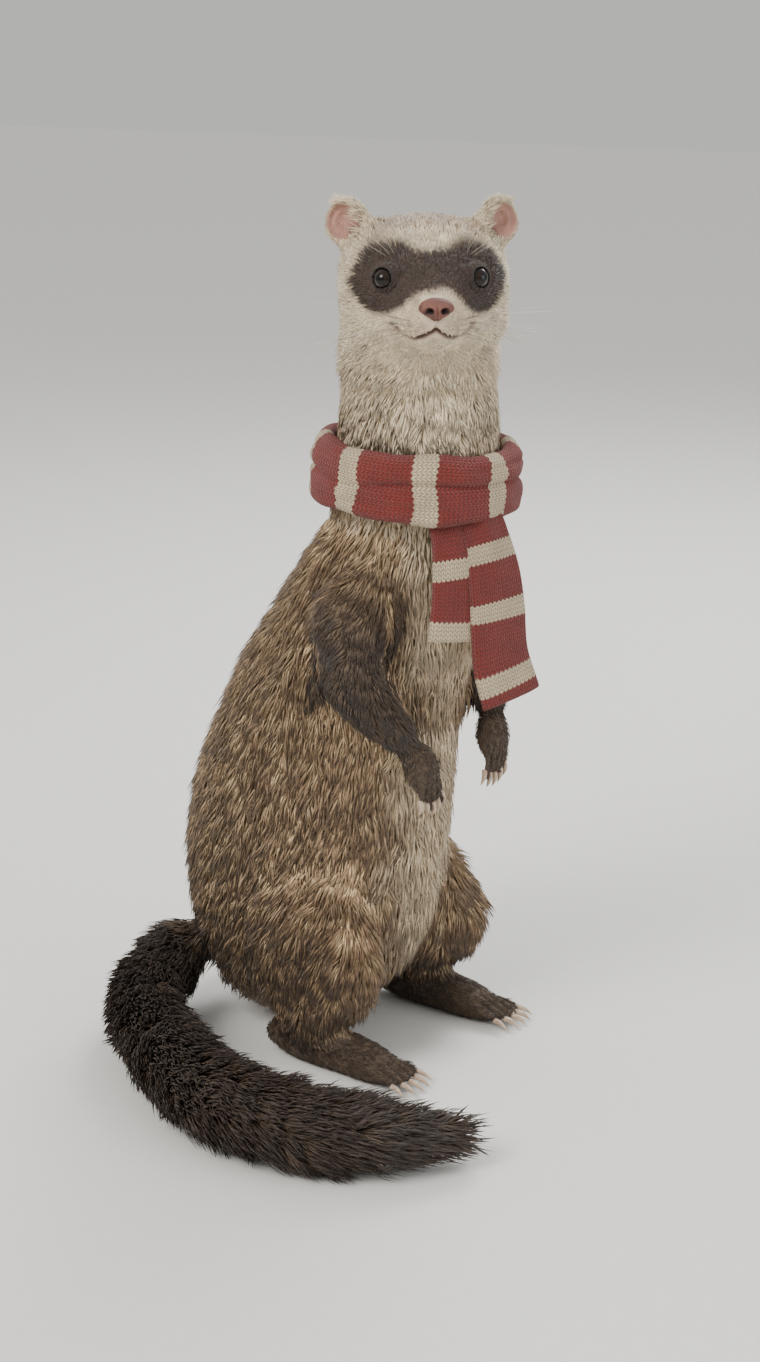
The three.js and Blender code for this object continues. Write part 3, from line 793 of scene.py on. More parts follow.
def coat_colours(where, region):
    """Colour at the root and at the tip of the hair, at many places."""
    side, ahead, high = body_places(where)
    left, fore, up = head_places(where)
    noise = wobble(where, 22, 5)
    # The back and shoulders are darker than the flanks.
    back = step_between(-ahead, 20, 75) * 0.5 + 0.2 * step_between(high, 150, 200)
    tip = blend(BROWN, DARK * 1.6, back)
    # Belly and chest: a paler panel down the front.
    front = np.where(high > 150, 8 - (high - 150) * 0.02, -14 + 0.13 * (high - 40))
    panel = step_between(ahead + 4 * noise, front, front + 12) * (1 - step_between(np.abs(side), 20, 33))
    panel *= step_between(high, 8, 30) * among(region, "torso", "neck")
    tip = blend(tip, PALE * 0.55 + CREAM * 0.35, panel * 0.85)
    root = blend(CREAM, PALE * 0.6 + CREAM * 0.4, panel)
    # Legs, feet and tail are nearly black-brown, and so is the rump where the tail leaves it.
    limb = among(region, "foreleg", "forepaw", "hind", "tail") * 1.0
    rump = np.linalg.norm(np.stack([side + 6, ahead + 96, high - 33], 1), axis=1)
    limb = np.maximum(limb, 1 - step_between(rump + 3 * noise, 20, 38))
    limb = np.maximum(limb, among(region, "haunch") * (1 - step_between(high, 10, 45)))
    fade = np.where(among(region, "foreleg"), 1 - 0.5 * step_between(high, 185, 215), 1.0)
    tip = blend(tip, DARK, limb * fade)
    root = blend(root, DARK * 1.9 + CREAM * 0.02, limb * fade * 0.9)
    # Neck: brown at the back, cream at the throat.
    throat = among(region, "neck") * step_between(fore + 3 * noise, -22, 6)
    tip = blend(tip, PALE * 0.85, throat * 0.8)
    root = blend(root, PALE, throat * 0.6)
    # Head: pale, with a brown crown and nape, and the mask.
    crown = step_between(up + 2 * noise, 13, 24) * (1 - step_between(fore, 4, 17)) * 0.62
    nape = (1 - step_between(fore + 3 * noise, -27, -6)) * (0.95 - 0.25 * step_between(up, -36, -6))
    brown = np.maximum(crown, nape) * among(region, "head")
    mask = mask_share(where)
    face_tip = blend(blend(PALE, BROWN * 1.25, brown), DARK * 1.3, mask)
    face_root = blend(blend(PALE * 0.95, BROWN * 2.4, brown * 0.75), DARK * 2.2, mask)
    # A pinker muzzle, a creamier jaw and browner backs of the ears.
    face_tip = blend(face_tip, PINK * 0.75, step_between(fore, 33, 42) * (up > -14) * 0.35)
    jaw = (1 - step_between(up + 3 * noise, -34, -12)) * step_between(fore, -14, 2)
    face_tip = blend(face_tip, CREAM * 0.85, jaw * 0.5)
    ear_back = among(region, "ear") * step_between(-fore, -2, 6) * (1 - step_between(up, 24, 31))
    face_tip = blend(face_tip, BROWN * 2.2, ear_back * 0.55)
    head = among(region, "head", "ear") * 1.0
    return blend(root, face_root, head), blend(tip, face_tip, head)


def paint(piece, name, colours):
    attribute = piece.data.color_attributes.new(name, "FLOAT_COLOR", "POINT")
    rgba = np.concatenate([np.clip(colours, 0, 1), np.ones((len(colours), 1))], 1)
    attribute.data.foreach_set("color", rgba.astype(np.float32).ravel())


LIP_TONE = np.array([0.10, 0.045, 0.035])
RIM_TONE = np.array([0.02, 0.012, 0.01])
CANAL_SHADE = np.array([0.09, 0.03, 0.025])
PAD_TONE = np.array([0.16, 0.075, 0.06])

skin_root, skin_tip = coat_colours(points, part)
bare = skin_root * 0.55 + skin_tip * 0.25
bare = blend(bare, LIP_TONE, np.exp(-(to_mouth / 1.1) ** 2) * on_face)
rim_tone = 1 - step_between(eye_opening, 1.1, 1.75) * 0.75
rim_tone = np.where(eye_opening < 2.2, rim_tone, 0) * (1 - step_between(eye_opening, 1.7, 2.2))
bare = blend(bare, RIM_TONE, np.where(eye_opening < 1.15, 1.0, rim_tone))
cup_tone = 1 - step_between(ear_cup, 0.88, 1.04)
bare = blend(bare, PINK * 0.74, cup_tone)
# Painted shade: the ear's canal is painted dark, as the shade in its opening.
bare = blend(bare, CANAL_SHADE, ear_canal * cup_tone)
bare = blend(bare, PAD_TONE, np.clip(pad * 1.4, 0, 1))
# Painted shade: the skin is painted darker along the furrows between the toes.
bare = bare * (1 - 0.6 * furrow[:, None])
print("colours set at", len(bare), "places")

# %% [markdown]
# The skin itself shows only where the coat is thin: on the lids, lips, ears and toes. Its
# material is short velvet: a fine bump, with the colour from the markings.

# %% Finish the skin
def finished(piece, material, slot, *replaced):
    """Puts a new piece on the body with its finish, in place of the solids it stands for."""
    piece.data.polygons.foreach_set("use_smooth", [True] * len(piece.data.polygons))
    piece.data.materials.append(material)
    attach(piece, "root")
    if replaced:
        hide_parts(*replaced)
    print(piece.name, "faces:", len(piece.data.polygons))


for v in melted.verts:
    v.co = points[v.index]
melted.to_mesh(skin.data)
melted.free()
paint(skin, "marking", bare)
velvet, tree, shader = painted_material("short_velvet", 220, 0.75, 1.2, roughness=0.75,
                                        Sheen_Weight=0.05, Sheen_Roughness=0.5)
bumped(tree, shader, varied(tree, 1400, 0.0, 1.0), 0.25 * MM)
skin_solids = [n for n in FLESH if n.split("_")[0] not in ("nose", "eye")]
finished(skin, velvet, "body_coat", *skin_solids, *TAIL_NODES)

# %% [markdown]
# ## Which way the hair lies
# Hair lies from the nose backwards, down the neck and flanks, along each leg to the toes and
# along the tail to its tip. Each part gets one direction, and averaging turns one into the next.

# %% Lie, length and lift of the hair
def values_of(data, name, kind, width):
    """One value, or a row of them, for each item of mesh data, as an array."""
    flat = np.zeros(len(data) * width, kind)
    data.foreach_get(name, flat)
    return flat.reshape(-1, width)


mesh = skin.data
points = values_of(mesh.vertices, "co", float, 3)
normals = values_of(mesh.vertices, "normal", float, 3)
side, ahead, high = body_places(points)
left, fore, up = head_places(points)
lie = np.zeros((len(points), 3))


def set_lie(where, directions):
    lie[where] = unit(np.broadcast_to(directions, lie.shape))[where]


def body_way(left, fore, up):
    """Directions in the row's frame, from numbers or arrays."""
    left, fore, up = (np.broadcast_to(v, len(points)) for v in (left, fore, up))
    return np.stack([left, -fore, up], 1)


set_lie(among(part, "torso"), body_way(0, -0.15 - 0.5 * (1 - step_between(high, 30, 80)), -1))
set_lie(among(part, "neck"), body_way(0, -0.05, -1))
head_left, head_back, head_up = HEAD_AXES.T
droop = np.where(up < 4, -0.45, -0.05) * step_between(-fore, -30, 0)
set_lie(among(part, "head"), head_back + head_up * droop[:, None])
set_lie(among(part, "ear"), head_up + head_left * np.sign(left)[:, None] * 0.7 + head_back * 0.2)
elbow = step_between(high, 158, 172)
set_lie(among(part, "foreleg"),
        body_way(np.sign(side) * (-0.35 + 0.5 * elbow), 0.55 - 0.85 * elbow, -1))
set_lie(among(part, "forepaw"), body_way(0, 0.15, -1))
set_lie(among(part, "haunch"), body_way(0, -0.25, -1))
set_lie(among(part, "hind"), body_way(0, 1, -0.12))
tail_way = unit(np.gradient(tail_points, axis=0))
nearest = np.array([tail_tree.find(p)[1] for p in points])
set_lie(among(part, "tail"), tail_way[nearest])
lie = averaged(lie, pairs, 45)
tuft_edge = (ear_cup > 0.72) & (ear_cup < 1.12) & (ear_inward > 2.2)
inwards = head_left * np.sign(left)[:, None] * 0.8 + head_up * 0.35 - head_back * 0.25
lie[tuft_edge] = inwards[tuft_edge]
elbow_tuft = among(part, "foreleg") & (ahead < -13) & (high < 186) & (high > 150)
lie[elbow_tuft] = body_way(np.sign(side) * 0.1, 0.3, -1)[elbow_tuft]
lie = unit(lie - normals * (lie * normals).sum(1, keepdims=True))

# Millimetres, and degrees above the skin.
LENGTH = dict(torso=15, neck=11, head=5.6, ear=1.7, foreleg=7.5, forepaw=2.8, haunch=12.5,
              hind=3.2, tail=26)
LIFT = dict(torso=24, neck=24, head=22, ear=13, foreleg=20, forepaw=20, haunch=22, hind=18, tail=47)
ELBOW_LENGTH = 9.5
EAR_EDGE_LENGTH, EAR_EDGE_LIFT = 6.5, 26
TOE_LENGTH = 2.1
length = by_part(LENGTH)
length = np.where(among(part, "head"), 6.4 - 4.7 * step_between(fore, -2, 34), length)
cheeks = among(part, "head") & (up < -12)
length = np.where(cheeks, length + 2.2 * (1 - step_between(fore, 6, 24)), length)
length = np.where(elbow_tuft, ELBOW_LENGTH, length)
length = averaged(length, pairs, 26)
lift = averaged(by_part(LIFT), pairs, 26)
length = np.where(on_face, np.minimum(length, 0.9 + 0.5 * to_mouth), length)
length = np.minimum(length, 0.7 + 2.4 * np.maximum(eye_opening - 1, 0))
length[tuft_edge] = EAR_EDGE_LENGTH
lift[tuft_edge] = EAR_EDGE_LIFT
toe_hair = (furrow > 0) | (pad > 0.05)
length[toe_hair] = np.minimum(length, TOE_LENGTH)[toe_hair]
print("hair length:", round(float(length.min()), 1), "to", round(float(length.max()), 1), "mm")

# %% [markdown]
# ## Tufts
# A tuft is a thin closed spike with three sides, bent along the lie of the coat. Tens of
# thousands are written straight into one mesh with arrays, which is far quicker than making
# objects. Tufts near one another lean together into locks, as real hair does.

# %% Where the tufts stand
mesh.calc_loop_triangles()
triangles = values_of(mesh.loop_triangles, "vertices", int, 3)
corners = points[triangles]
doubled = np.cross(corners[:, 1] - corners[:, 0], corners[:, 2] - corners[:, 0])
areas = np.linalg.norm(doubled, axis=1) / 2 / MM ** 2


def sown(weights, number, random):
    """Root places on the skin, drawn with the given weight for each triangle."""
    chance = weights * areas
    picked = random.choice(len(triangles), number, p=chance / chance.sum())
    a, b = random.random((2, number))
    fold = a + b > 1
    a[fold], b[fold] = 1 - a[fold], 1 - b[fold]
    shares = np.stack([1 - a - b, a, b], 1)
    return triangles[picked], shares


def at_roots(values, corner, shares):
    gathered = values[corner]
    if gathered.ndim == 2:
        return (gathered * shares).sum(1)
    return (gathered * shares[:, :, None]).sum(1)


def straightened(ways, out):
    """Directions turned to lie in the skin."""
    return ways - out * (ways * out).sum(1, keepdims=True)


print("triangles of skin:", len(triangles))

# %% [markdown]
# Every tuft has the same corners and faces, so the faces are listed once and repeated. In the
# unwrap a tuft is a patch 3 mm wide in a map one metre wide.

# %% Faces of a tuft and the mesh of many
PATCH = 0.003


def tuft_faces(steps):
    """Rings of three corners closed by a cap at the root and a point at the tip."""
    faces = [(0, 2, 1)]
    for first in range(0, 3 * (steps - 1), 3):
        for i in range(3):
            j = (i + 1) % 3
            above_i, above_j = first + 3 + i, first + 3 + j
            faces += [(first + i, first + j, above_j), (first + i, above_j, above_i)]
    last = 3 * (steps - 1)
    return np.array(faces + [(last + i, last + (i + 1) % 3, last + 3) for i in range(3)])


def mesh_of_tufts(piece_name, places, steps, u_root, v_root):
    """One mesh of all the tufts, each with its patch in the unwrap."""
    number, each = places.shape[:2]
    faces = tuft_faces(steps)
    every = (faces[None] + (np.arange(number) * each)[:, None, None]).reshape(-1, 3)
    made = bpy.data.meshes.new(piece_name)
    made.vertices.add(number * each)
    made.vertices.foreach_set("co", places.astype(np.float32).ravel())
    made.loops.add(every.size)
    made.loops.foreach_set("vertex_index", every.ravel().astype(np.int32))
    made.polygons.add(len(every))
    made.polygons.foreach_set("loop_start", np.arange(0, every.size, 3, dtype=np.int32))
    made.update()
    across = np.array([-0.5, 0.5, 0.0] * steps + [0.0]) * PATCH
    along = np.array([PATCH * k / steps for k in range(steps) for _ in range(3)] + [PATCH])
    uv = np.stack([u_root[:, None] + across, v_root[:, None] + along], 2).reshape(-1, 2)
    layer = made.uv_layers.new(name="OFBake")
    layer.data.foreach_set("uv", uv[every.ravel()].astype(np.float32).ravel())
    return made


print("faces of a tuft:", len(tuft_faces(2)), "with 2 steps,", len(tuft_faces(3)), "with 3")

# %% [markdown]
# In each lock a few tufts are leaders, and the others lean towards the nearest of them. All of a
# lock shares a swing, a length and a tone, with a little more for each tuft. Some tufts are
# underfur: shorter, and the colour of the root.

# %% Make the tufts of one piece of coat
ROOT_DEPTH = 0.5  # how far below the skin a tuft starts, in millimetres
FLOOR_GAP = 0.1   # and the least height of any corner
UNDERFUR_SHARE = 0.66


def tuft_mesh(piece_name, weights, number, steps, width, chart, seed,
              spread=7.0, gather=0.5, under=0.22):
    """A piece of coat: so many tufts of this width, in locks this far apart."""
    random = np.random.default_rng(seed)
    corner, shares = sown(weights, number, random)
    root = at_roots(points, corner, shares)
    out = unit(at_roots(normals, corner, shares))
    way = unit(straightened(at_roots(lie, corner, shares), out))
    long = at_roots(length, corner, shares) * MM
    rise = np.radians(at_roots(lift, corner, shares))
    root_colour, tip_colour = coat_colours(root, part[corner[:, 0]])
    leaders = int(min(areas[weights > 0].sum() / spread ** 2, number / 4))
    led_by = kdtree.KDTree(leaders)
    for i in range(leaders):
        led_by.insert(root[i], i)
    led_by.balance()
    led = np.array([led_by.find(p)[1] for p in root])
    swing = random.normal(0, 0.16, leaders)[led] + random.normal(0, 0.11, number)
    stretch = (1 + random.normal(0, 0.09, leaders)[led]) * random.uniform(0.78, 1.12, number)
    tone = (1 + random.normal(0, 0.11, leaders)[led]) * (1 + random.normal(0, 0.1, number))
    tone = np.clip(tone, 0.6, 1.5)
    below = random.random(number) < under
    long = long * np.where(below, stretch * UNDERFUR_SHARE, stretch)
    tip_colour = np.where(below[:, None], root_colour, tip_colour)
    way = way * np.cos(swing)[:, None] + np.cross(out, way) * np.sin(swing)[:, None]
    aside = np.cross(out, way)
    rise = rise + random.normal(0, 0.07, number) + np.where(below, 0.1, 0)
    pull = straightened(root[led] - root, out)
    size = np.linalg.norm(pull, axis=1, keepdims=True)
    pull = pull * gather * np.minimum(1, 0.45 * long[:, None] / np.maximum(size, 1e-9))
    broad = width * MM * random.uniform(0.75, 1.2, number)
    rings = []
    shades = []
    for k in range(steps + 1):
        t = k / steps
        raised = long * np.sin(rise) * (t - 0.42 * t * t) - ROOT_DEPTH * MM * (k == 0)
        centre = (root + way * (long * np.cos(rise) * t)[:, None] + pull * (t ** 1.5)
                  + out * raised[:, None])
        shade = root_colour * (1 - min(1, t * 1.35)) + tip_colour * min(1, t * 1.35)
        shade = shade * tone[:, None]
        if k == steps:
            rings.append(centre[:, None])
            shades.append(shade[:, None])
            continue
        half = (broad * (0.5 if k else 0.36) * (1 - 0.25 * t))[:, None]
        ring = [centre - aside * half, centre + aside * half, centre + out * half * 0.7]
        rings.append(np.stack(ring, 1))
        shades.append(np.repeat(shade[:, None], 3, 1))
    places = np.concatenate(rings, 1)
    places[:, :, 2] = np.maximum(places[:, :, 2], FLOOR_GAP * MM)
    made = mesh_of_tufts(piece_name, places, steps, *chart(root))
    piece = added(piece_name, made)
    paint(piece, "marking", np.concatenate(shades, 1).reshape(-1, 3))
    made.materials.append(guard_hair)
    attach(piece, "root")
    print(piece_name, "tufts:", number, "triangles:", len(made.polygons))


# %% [markdown]
# The hair's material is soft and a little glossy. Its colour is the marking, varied finely from
# strand to strand.

# %% Material of the hair
guard_hair, tree, shader = painted_material("guard_hair", 900, 0.82, 1.15, roughness=0.58,
                                            Sheen_Weight=0.08, Sheen_Roughness=0.4)
tree.links.new(varied(tree, 900, 0.46, 0.68), shader.inputs["Roughness"])
print("materials:", len(bpy.data.materials))

# %% [markdown]
# ## Unwraps
# Each tuft's patch sits where its root lies on a flat map of the skin. A limb or trunk unrolls
# as a cylinder: the angle round its middle gives one direction, and the height along it the other.

# %% Flat maps of the skin
def unrolled(angle, along, low, high, cell=0, cells=1):
    """The place on a map of cells side by side, from an angle and a distance between two ends."""
    u_map = (np.clip(angle / (2 * math.pi) + 0.5, 0, 1) * 0.96 + 0.02 + cell) / cells
    return u_map, np.clip((along - low) / (high - low), 0, 1) * 0.96 + 0.02


def trunk_map(where):
    side, ahead, high = body_places(where)
    return unrolled(np.arctan2(side, ahead + 30), high, 0, 330)


def head_map(where):
    left, fore, up = head_places(where)
    return unrolled(np.arctan2(left, up + 2), fore, -42, 48)


def limb_map(where):
    side, ahead, high = body_places(where)
    return unrolled(np.arctan2(ahead + 5, np.abs(side) - 33), high, 100, 235, side > 0, 2)


def haunch_map(where):
    side, ahead, high = body_places(where)
    return unrolled(np.arctan2(ahead + 28, high - 50), np.abs(side), 12, 60, side > 0, 2)


def foot_map(where):
    side, ahead, high = body_places(where)
    paw = high > 60
    paw_angle = np.arctan2(ahead - 18, np.abs(side) - 25)
    hind_angle = np.arctan2(high - 7, np.abs(side) - 38)
    along = np.where(paw, (high - 105) / 50, (ahead + 65) / 105)
    return unrolled(np.where(paw, paw_angle, hind_angle), along, 0, 1, (side > 0) + 2 * paw, 4)


def tail_map(where):
    nearest = np.array([tail_tree.find(p)[1] for p in where])
    from_line = where - tail_points[nearest]
    flat = unit(np.cross(tail_way[nearest], np.array([0, 0, 1.0])))
    raised = np.cross(flat, tail_way[nearest])
    angle = np.arctan2((from_line * flat).sum(1), (from_line * raised).sum(1))
    return unrolled(angle, nearest, 0, TAIL_STEPS - 1)


def ear_map(where):
    left, fore, up = head_places(where)
    return unrolled(np.arctan2(np.abs(left) - 28, fore + 6), up, 8, 42, left > 0, 2)


print("map of the nose:", [round(float(v), 2) for v in head_map(np.array([NOSE]))[1]])

# %% [markdown]
# Each piece of coat has a weight for every triangle of the skin, so no hair grows in the eyes, on
# the lips, on the nose, in the cups of the ears or on the pads. After the weight come the number
# of tufts, their steps and width, the flat map and the seed. The last numbers are the
# distance between locks, how far they gather, and the share of underfur.

# %% Grow the coat, part by part
tri_fore = fore[triangles[:, 0]]
open_skin = eye_opening[triangles].min(1) > 1.1
off_mouth = np.clip((to_mouth[triangles].min(1) - 1.0) / 0.8, 0, 1)
nose_gap = np.linalg.norm(corners.mean(1) - np.array(NOSE), axis=1) / MM
hairy_face = open_skin * np.where(tri_fore > 10, off_mouth, 1) * (nose_gap > 6.2)
cup = ear_cup[triangles].min(1)
edge_hair = tuft_edge[triangles].all(1)
pad_free = pad[triangles].max(1) < 0.35


def skin_of(*names):
    return among(part[triangles[:, 0]], *names) * 1.0


torso, head, ears, tail = (skin_of(name) for name in ("torso", "head", "ear", "tail"))
face = head * (tri_fore >= 6) * hairy_face * (1 + (tri_fore > 22))
tuft_mesh("coat_body", torso, 17000, 2, 1.1, trunk_map, 11)
tuft_mesh("coat_body_over", torso, 17000, 2, 1.0, trunk_map, 12, 9, 0.55, 0.12)
tuft_mesh("coat_neck", skin_of("neck"), 10500, 2, 0.9, trunk_map, 13, 6)
tuft_mesh("coat_head", head * (tri_fore < 6) * hairy_face, 16000, 2, 0.6, head_map, 14, 4)
tuft_mesh("coat_face", face, 18000, 2, 0.36, head_map, 15, 2.5, 0.35, 0.1)
tuft_mesh("coat_ears", ears * (cup > 0.9) * ~edge_hair, 5000, 2, 0.32, ear_map, 16, 2.5, 0.3)
tuft_mesh("coat_ear_edges", ears * edge_hair, 700, 2, 0.3, ear_map, 22, 2.5, 0.3, 0.0)
tuft_mesh("coat_forelegs", skin_of("foreleg"), 12500, 2, 0.75, limb_map, 17, 5)
tuft_mesh("coat_haunches", skin_of("haunch"), 11500, 2, 1.05, haunch_map, 18)
tuft_mesh("coat_feet", skin_of("forepaw", "hind") * pad_free, 12500, 2, 0.42, foot_map, 19,
          2.5, 0.3)
tuft_mesh("coat_tail", tail, 9000, 3, 1.0, tail_map, 20, 7, 0.5)
tuft_mesh("coat_tail_over", tail, 9000, 3, 1.0, tail_map, 21, 9, 0.6)

# %% [markdown]
# ## Eyes
# The eyes are almost black and wet. Each is a ball with a slight swell before the pupil, painted
# as pupil, iris and rim by the distance from the line it looks along. The shine comes from a
# clear coat.

# %% Eyes
SWELL = 0.4
IRIS_TONE = np.array([0.013, 0.0055, 0.003])
# Each ring: its colour, and the distance in millimetres over which it takes over.
EYE_RINGS = [((0.006, 0.004, 0.003), 2.9, 3.5), ((0.05, 0.028, 0.022), 4.1, 4.5)]
PUPIL_TONE = np.array([0.001, 0.001, 0.001])
wet_eye, tree, shader = painted_material("wet_eye", 2600, 0.8, 1.2, roughness=0.04,
                                         Coat_Weight=0.12, Coat_Roughness=0.01, IOR=1.33)

for name_end, eye, look in zip(("right", "left"), EYES, EYE_LOOK):
    ball = bmesh.new()
    bmesh.ops.create_uvsphere(ball, u_segments=48, v_segments=40, radius=EYE_RADIUS * MM)
    for v in ball.verts:
        off = v.co.angle(Vector((0, 0, 1)))
        v.co *= 1 + SWELL / EYE_RADIUS * max(0, 1 - (off / 0.8) ** 2) ** 2
    places = np.array([v.co for v in ball.verts]) / MM
    spin = look.to_track_quat("Z", "Y").to_matrix().to_4x4()
    bmesh.ops.transform(ball, matrix=Matrix.Translation(eye) @ spin, verts=ball.verts)
    piece = object_from("eyeball_" + name_end, ball)
    from_line = np.hypot(places[:, 0], places[:, 1]) + 9 * (places[:, 2] < 0)
    tone = np.tile(IRIS_TONE, (len(places), 1))
    for colour, low, high in EYE_RINGS:
        tone = blend(tone, np.array(colour), step_between(from_line, low, high))
    tone = blend(tone, PUPIL_TONE, 1 - step_between(from_line, 1.7, 2.0))
    paint(piece, "marking", tone)
    finished(piece, wet_eye, "eye_gloss", "eye_" + name_end)

# %% [markdown]
# ## Nose
# The pad is a rounded triangle of bare, pebbled skin, broad above and narrow below, split by a
# groove, with a nostril at each side that runs out into a slit. A finely divided ball is moulded
# by the same kind of fields as the face.

# %% Nose pad
NOSE_TONE = np.array([0.17, 0.07, 0.053])
NOSE_MOTTLE = np.array([0.085, 0.036, 0.028])
NOSTRIL_SHADE = np.array([0.015, 0.005, 0.004])
NOSTRIL = (2.9, -0.5)  # to the side and up from the middle of the pad
SLIT_START, SLIT_END = np.array([3.1, -0.9]), np.array([5.4, -1.7])


def moulded_nose(x, forward, z):
    """A place on the pad, from a place on a ball of radius 1."""
    width = 6.6 - 3.5 * step_between(-z, 0.05, 1.0)
    spot = np.array([x * width, forward * (4.9 if forward > 0 else 4.2), z * (4.0 if z > 0 else 4.7)])
    out = unit(spot / np.array([width, 4.9, 4.4]))
    front = step_between(forward, -0.05, 0.3)
    beside = np.array([abs(spot[0]), spot[2]])
    hole = math.hypot((beside[0] - NOSTRIL[0]) / 1.3, (beside[1] - NOSTRIL[1]) / 1.1)
    slit_way = SLIT_END - SLIT_START
    share = np.clip((beside - SLIT_START) @ slit_way / (slit_way @ slit_way), 0, 1)
    slit = np.linalg.norm(beside - SLIT_START - share * slit_way)
    open_way = max(2.4 * math.exp(-hole ** 2 * 1.1), 0.7 * math.exp(-(slit / 0.5) ** 2))
    rim = 0.32 * math.exp(-((hole - 1.55) / 0.35) ** 2)
    groove = 0.55 * math.exp(-(spot[0] / 0.34) ** 2) * step_between(-spot[2], -2.4, -0.6)
    return spot + out * (rim - open_way - groove) * front, open_way * front


nose_shape = bmesh.new()
bmesh.ops.create_icosphere(nose_shape, subdivisions=6, radius=1)
openness = []
for v in nose_shape.verts:
    spot, opened = moulded_nose(v.co.x, -v.co.y, v.co.z)
    v.co = Vector((spot[0], -spot[1], spot[2])) * MM
    openness.append(opened)
to_face = Matrix.Translation(NOSE) @ head_turned.to_4x4()
bmesh.ops.transform(nose_shape, matrix=to_face, verts=nose_shape.verts)
nose_pad = object_from("nose_pad", nose_shape)
mottle = wobble(values_of(nose_pad.data.vertices, "co", float, 3), 4, 8)
tone = blend(NOSE_TONE, NOSE_MOTTLE, step_between(mottle, -0.1, 0.9) * 0.8)
# Painted shade: the nostrils and the slits they run out into are painted nearly black.
tone = blend(tone, NOSTRIL_SHADE, step_between(np.array(openness), 0.2, 0.65))
paint(nose_pad, "marking", tone)

nose_skin, tree, shader = painted_material("nose_skin", 900, 0.85, 1.12, roughness=0.62,
                                           Coat_Weight=0.0, Specular_IOR_Level=0.35,
                                           Subsurface_Weight=0.08, Subsurface_Scale=0.001)
place_on = add_node(tree, "ShaderNodeTexCoord").outputs["Object"]
pebbles = add_node(tree, "ShaderNodeTexVoronoi", {"feature": "SMOOTH_F1"},
                   Vector=place_on, Scale=1300.0)
bumped(tree, shader, pebbles.outputs["Distance"], 0.3 * MM, -0.9)
finished(nose_pad, nose_skin, "nose_skin", "nose")

# %% [markdown]
# ## Claws
# Each of the twenty toes ends in a slim, curved claw of pale horn. A claw is a cone cut into
# rings, flattened from side to side and bent in an arch, then set at the end of its toe.

# %% Claws
def body_vector(values):
    return Vector((values[0], -values[1], values[2]))


CLAW_ROOT = 1.3  # the radius where it leaves the toe, and at its point
CLAW_POINT = 0.16
CLAW_ARCH = 0.75
HORN_DARK, HORN_PALE = (0.34, 0.21, 0.14), (0.58, 0.46, 0.34)

claw_shape = bmesh.new()
for knuckle, tip, lift, width, claw in PAWS:
    knuckle, tip, lift = (body_vector(v) for v in (knuckle, tip, lift))
    lift.normalize()
    for toe in range(-2, 3):
        fan = toe / 2
        root = knuckle + Vector((fan * width * 0.62, 0, 0))
        end = knuckle.lerp(tip, 1 - 0.2 * fan ** 2) + Vector((fan * width * 0.8, 0, 0))
        heading = (end - root).normalized()
        start = end - heading * 1.7
        nail = end + heading * (claw + 0.5) - lift * claw * 0.35
        long = (nail - start).length * MM
        one = bmesh.new()
        bmesh.ops.create_cone(one, cap_ends=True, segments=10, depth=long,
                              radius1=CLAW_ROOT * MM, radius2=CLAW_POINT * MM)
        sides = [e for e in one.edges if abs(e.verts[0].co.z - e.verts[1].co.z) > long / 2]
        bmesh.ops.subdivide_edges(one, edges=sides, cuts=7, use_grid_fill=True)
        for v in one.verts:
            t = v.co.z / long + 0.5
            full = (1 - 0.35 * t) / (1 - 0.88 * t) if t < 0.95 else 1
            v.co.x *= 0.74 * min(full, 1.5)
            v.co.y = v.co.y * min(full, 1.5) + CLAW_ARCH * MM * math.sin(math.pi * t)
            v.co.z += long / 2
        forward = (nail - start).normalized()
        across = lift.cross(forward).normalized()
        axes = Matrix((across, forward.cross(across), forward)).transposed().to_4x4()
        to_toe = Matrix.Translation(origin + start * MM) @ axes
        bmesh.ops.transform(one, matrix=to_toe, verts=one.verts)
        mesh_of_one = bpy.data.meshes.new("claw")
        one.to_mesh(mesh_of_one)
        one.free()
        claw_shape.from_mesh(mesh_of_one)
        bpy.data.meshes.remove(mesh_of_one)
bmesh.ops.recalc_face_normals(claw_shape, faces=claw_shape.faces)
claws = object_from("claws", claw_shape)
claw_horn, tree, shader = new_material("claw_horn", roughness=0.34, Coat_Weight=0.3, Coat_Roughness=0.2)
horn_tone = mixed(tree, varied(tree, 500, 0.0, 1.0), HORN_DARK, HORN_PALE)
tree.links.new(horn_tone, shader.inputs["Base Color"])
bumped(tree, shader, varied(tree, 2200, 0.0, 1.0), 0.08 * MM)
finished(claws, claw_horn, "dark_coat")

# %% [markdown]
# ## Whiskers
# Whiskers are long, stiff hairs that taper to nothing. They grow in rows on the pads beside the
# nose, and a few more stand over the eyes, on the cheeks and on the chin. Each is a closed, bent
# tube; a ray from inside the head finds where its root leaves the skin.

# %% Roots of the whiskers
face_tree = BVHTree.FromObject(skin, bpy.context.evaluated_depsgraph_get())
random = np.random.default_rng(31)
grown = []


def whisker(inside, towards, way, long):
    hit = face_tree.ray_cast(inside, towards.normalized())[0]
    if hit is not None:
        grown.append((hit - towards.normalized() * 0.4 * MM, way.normalized(), long * MM))


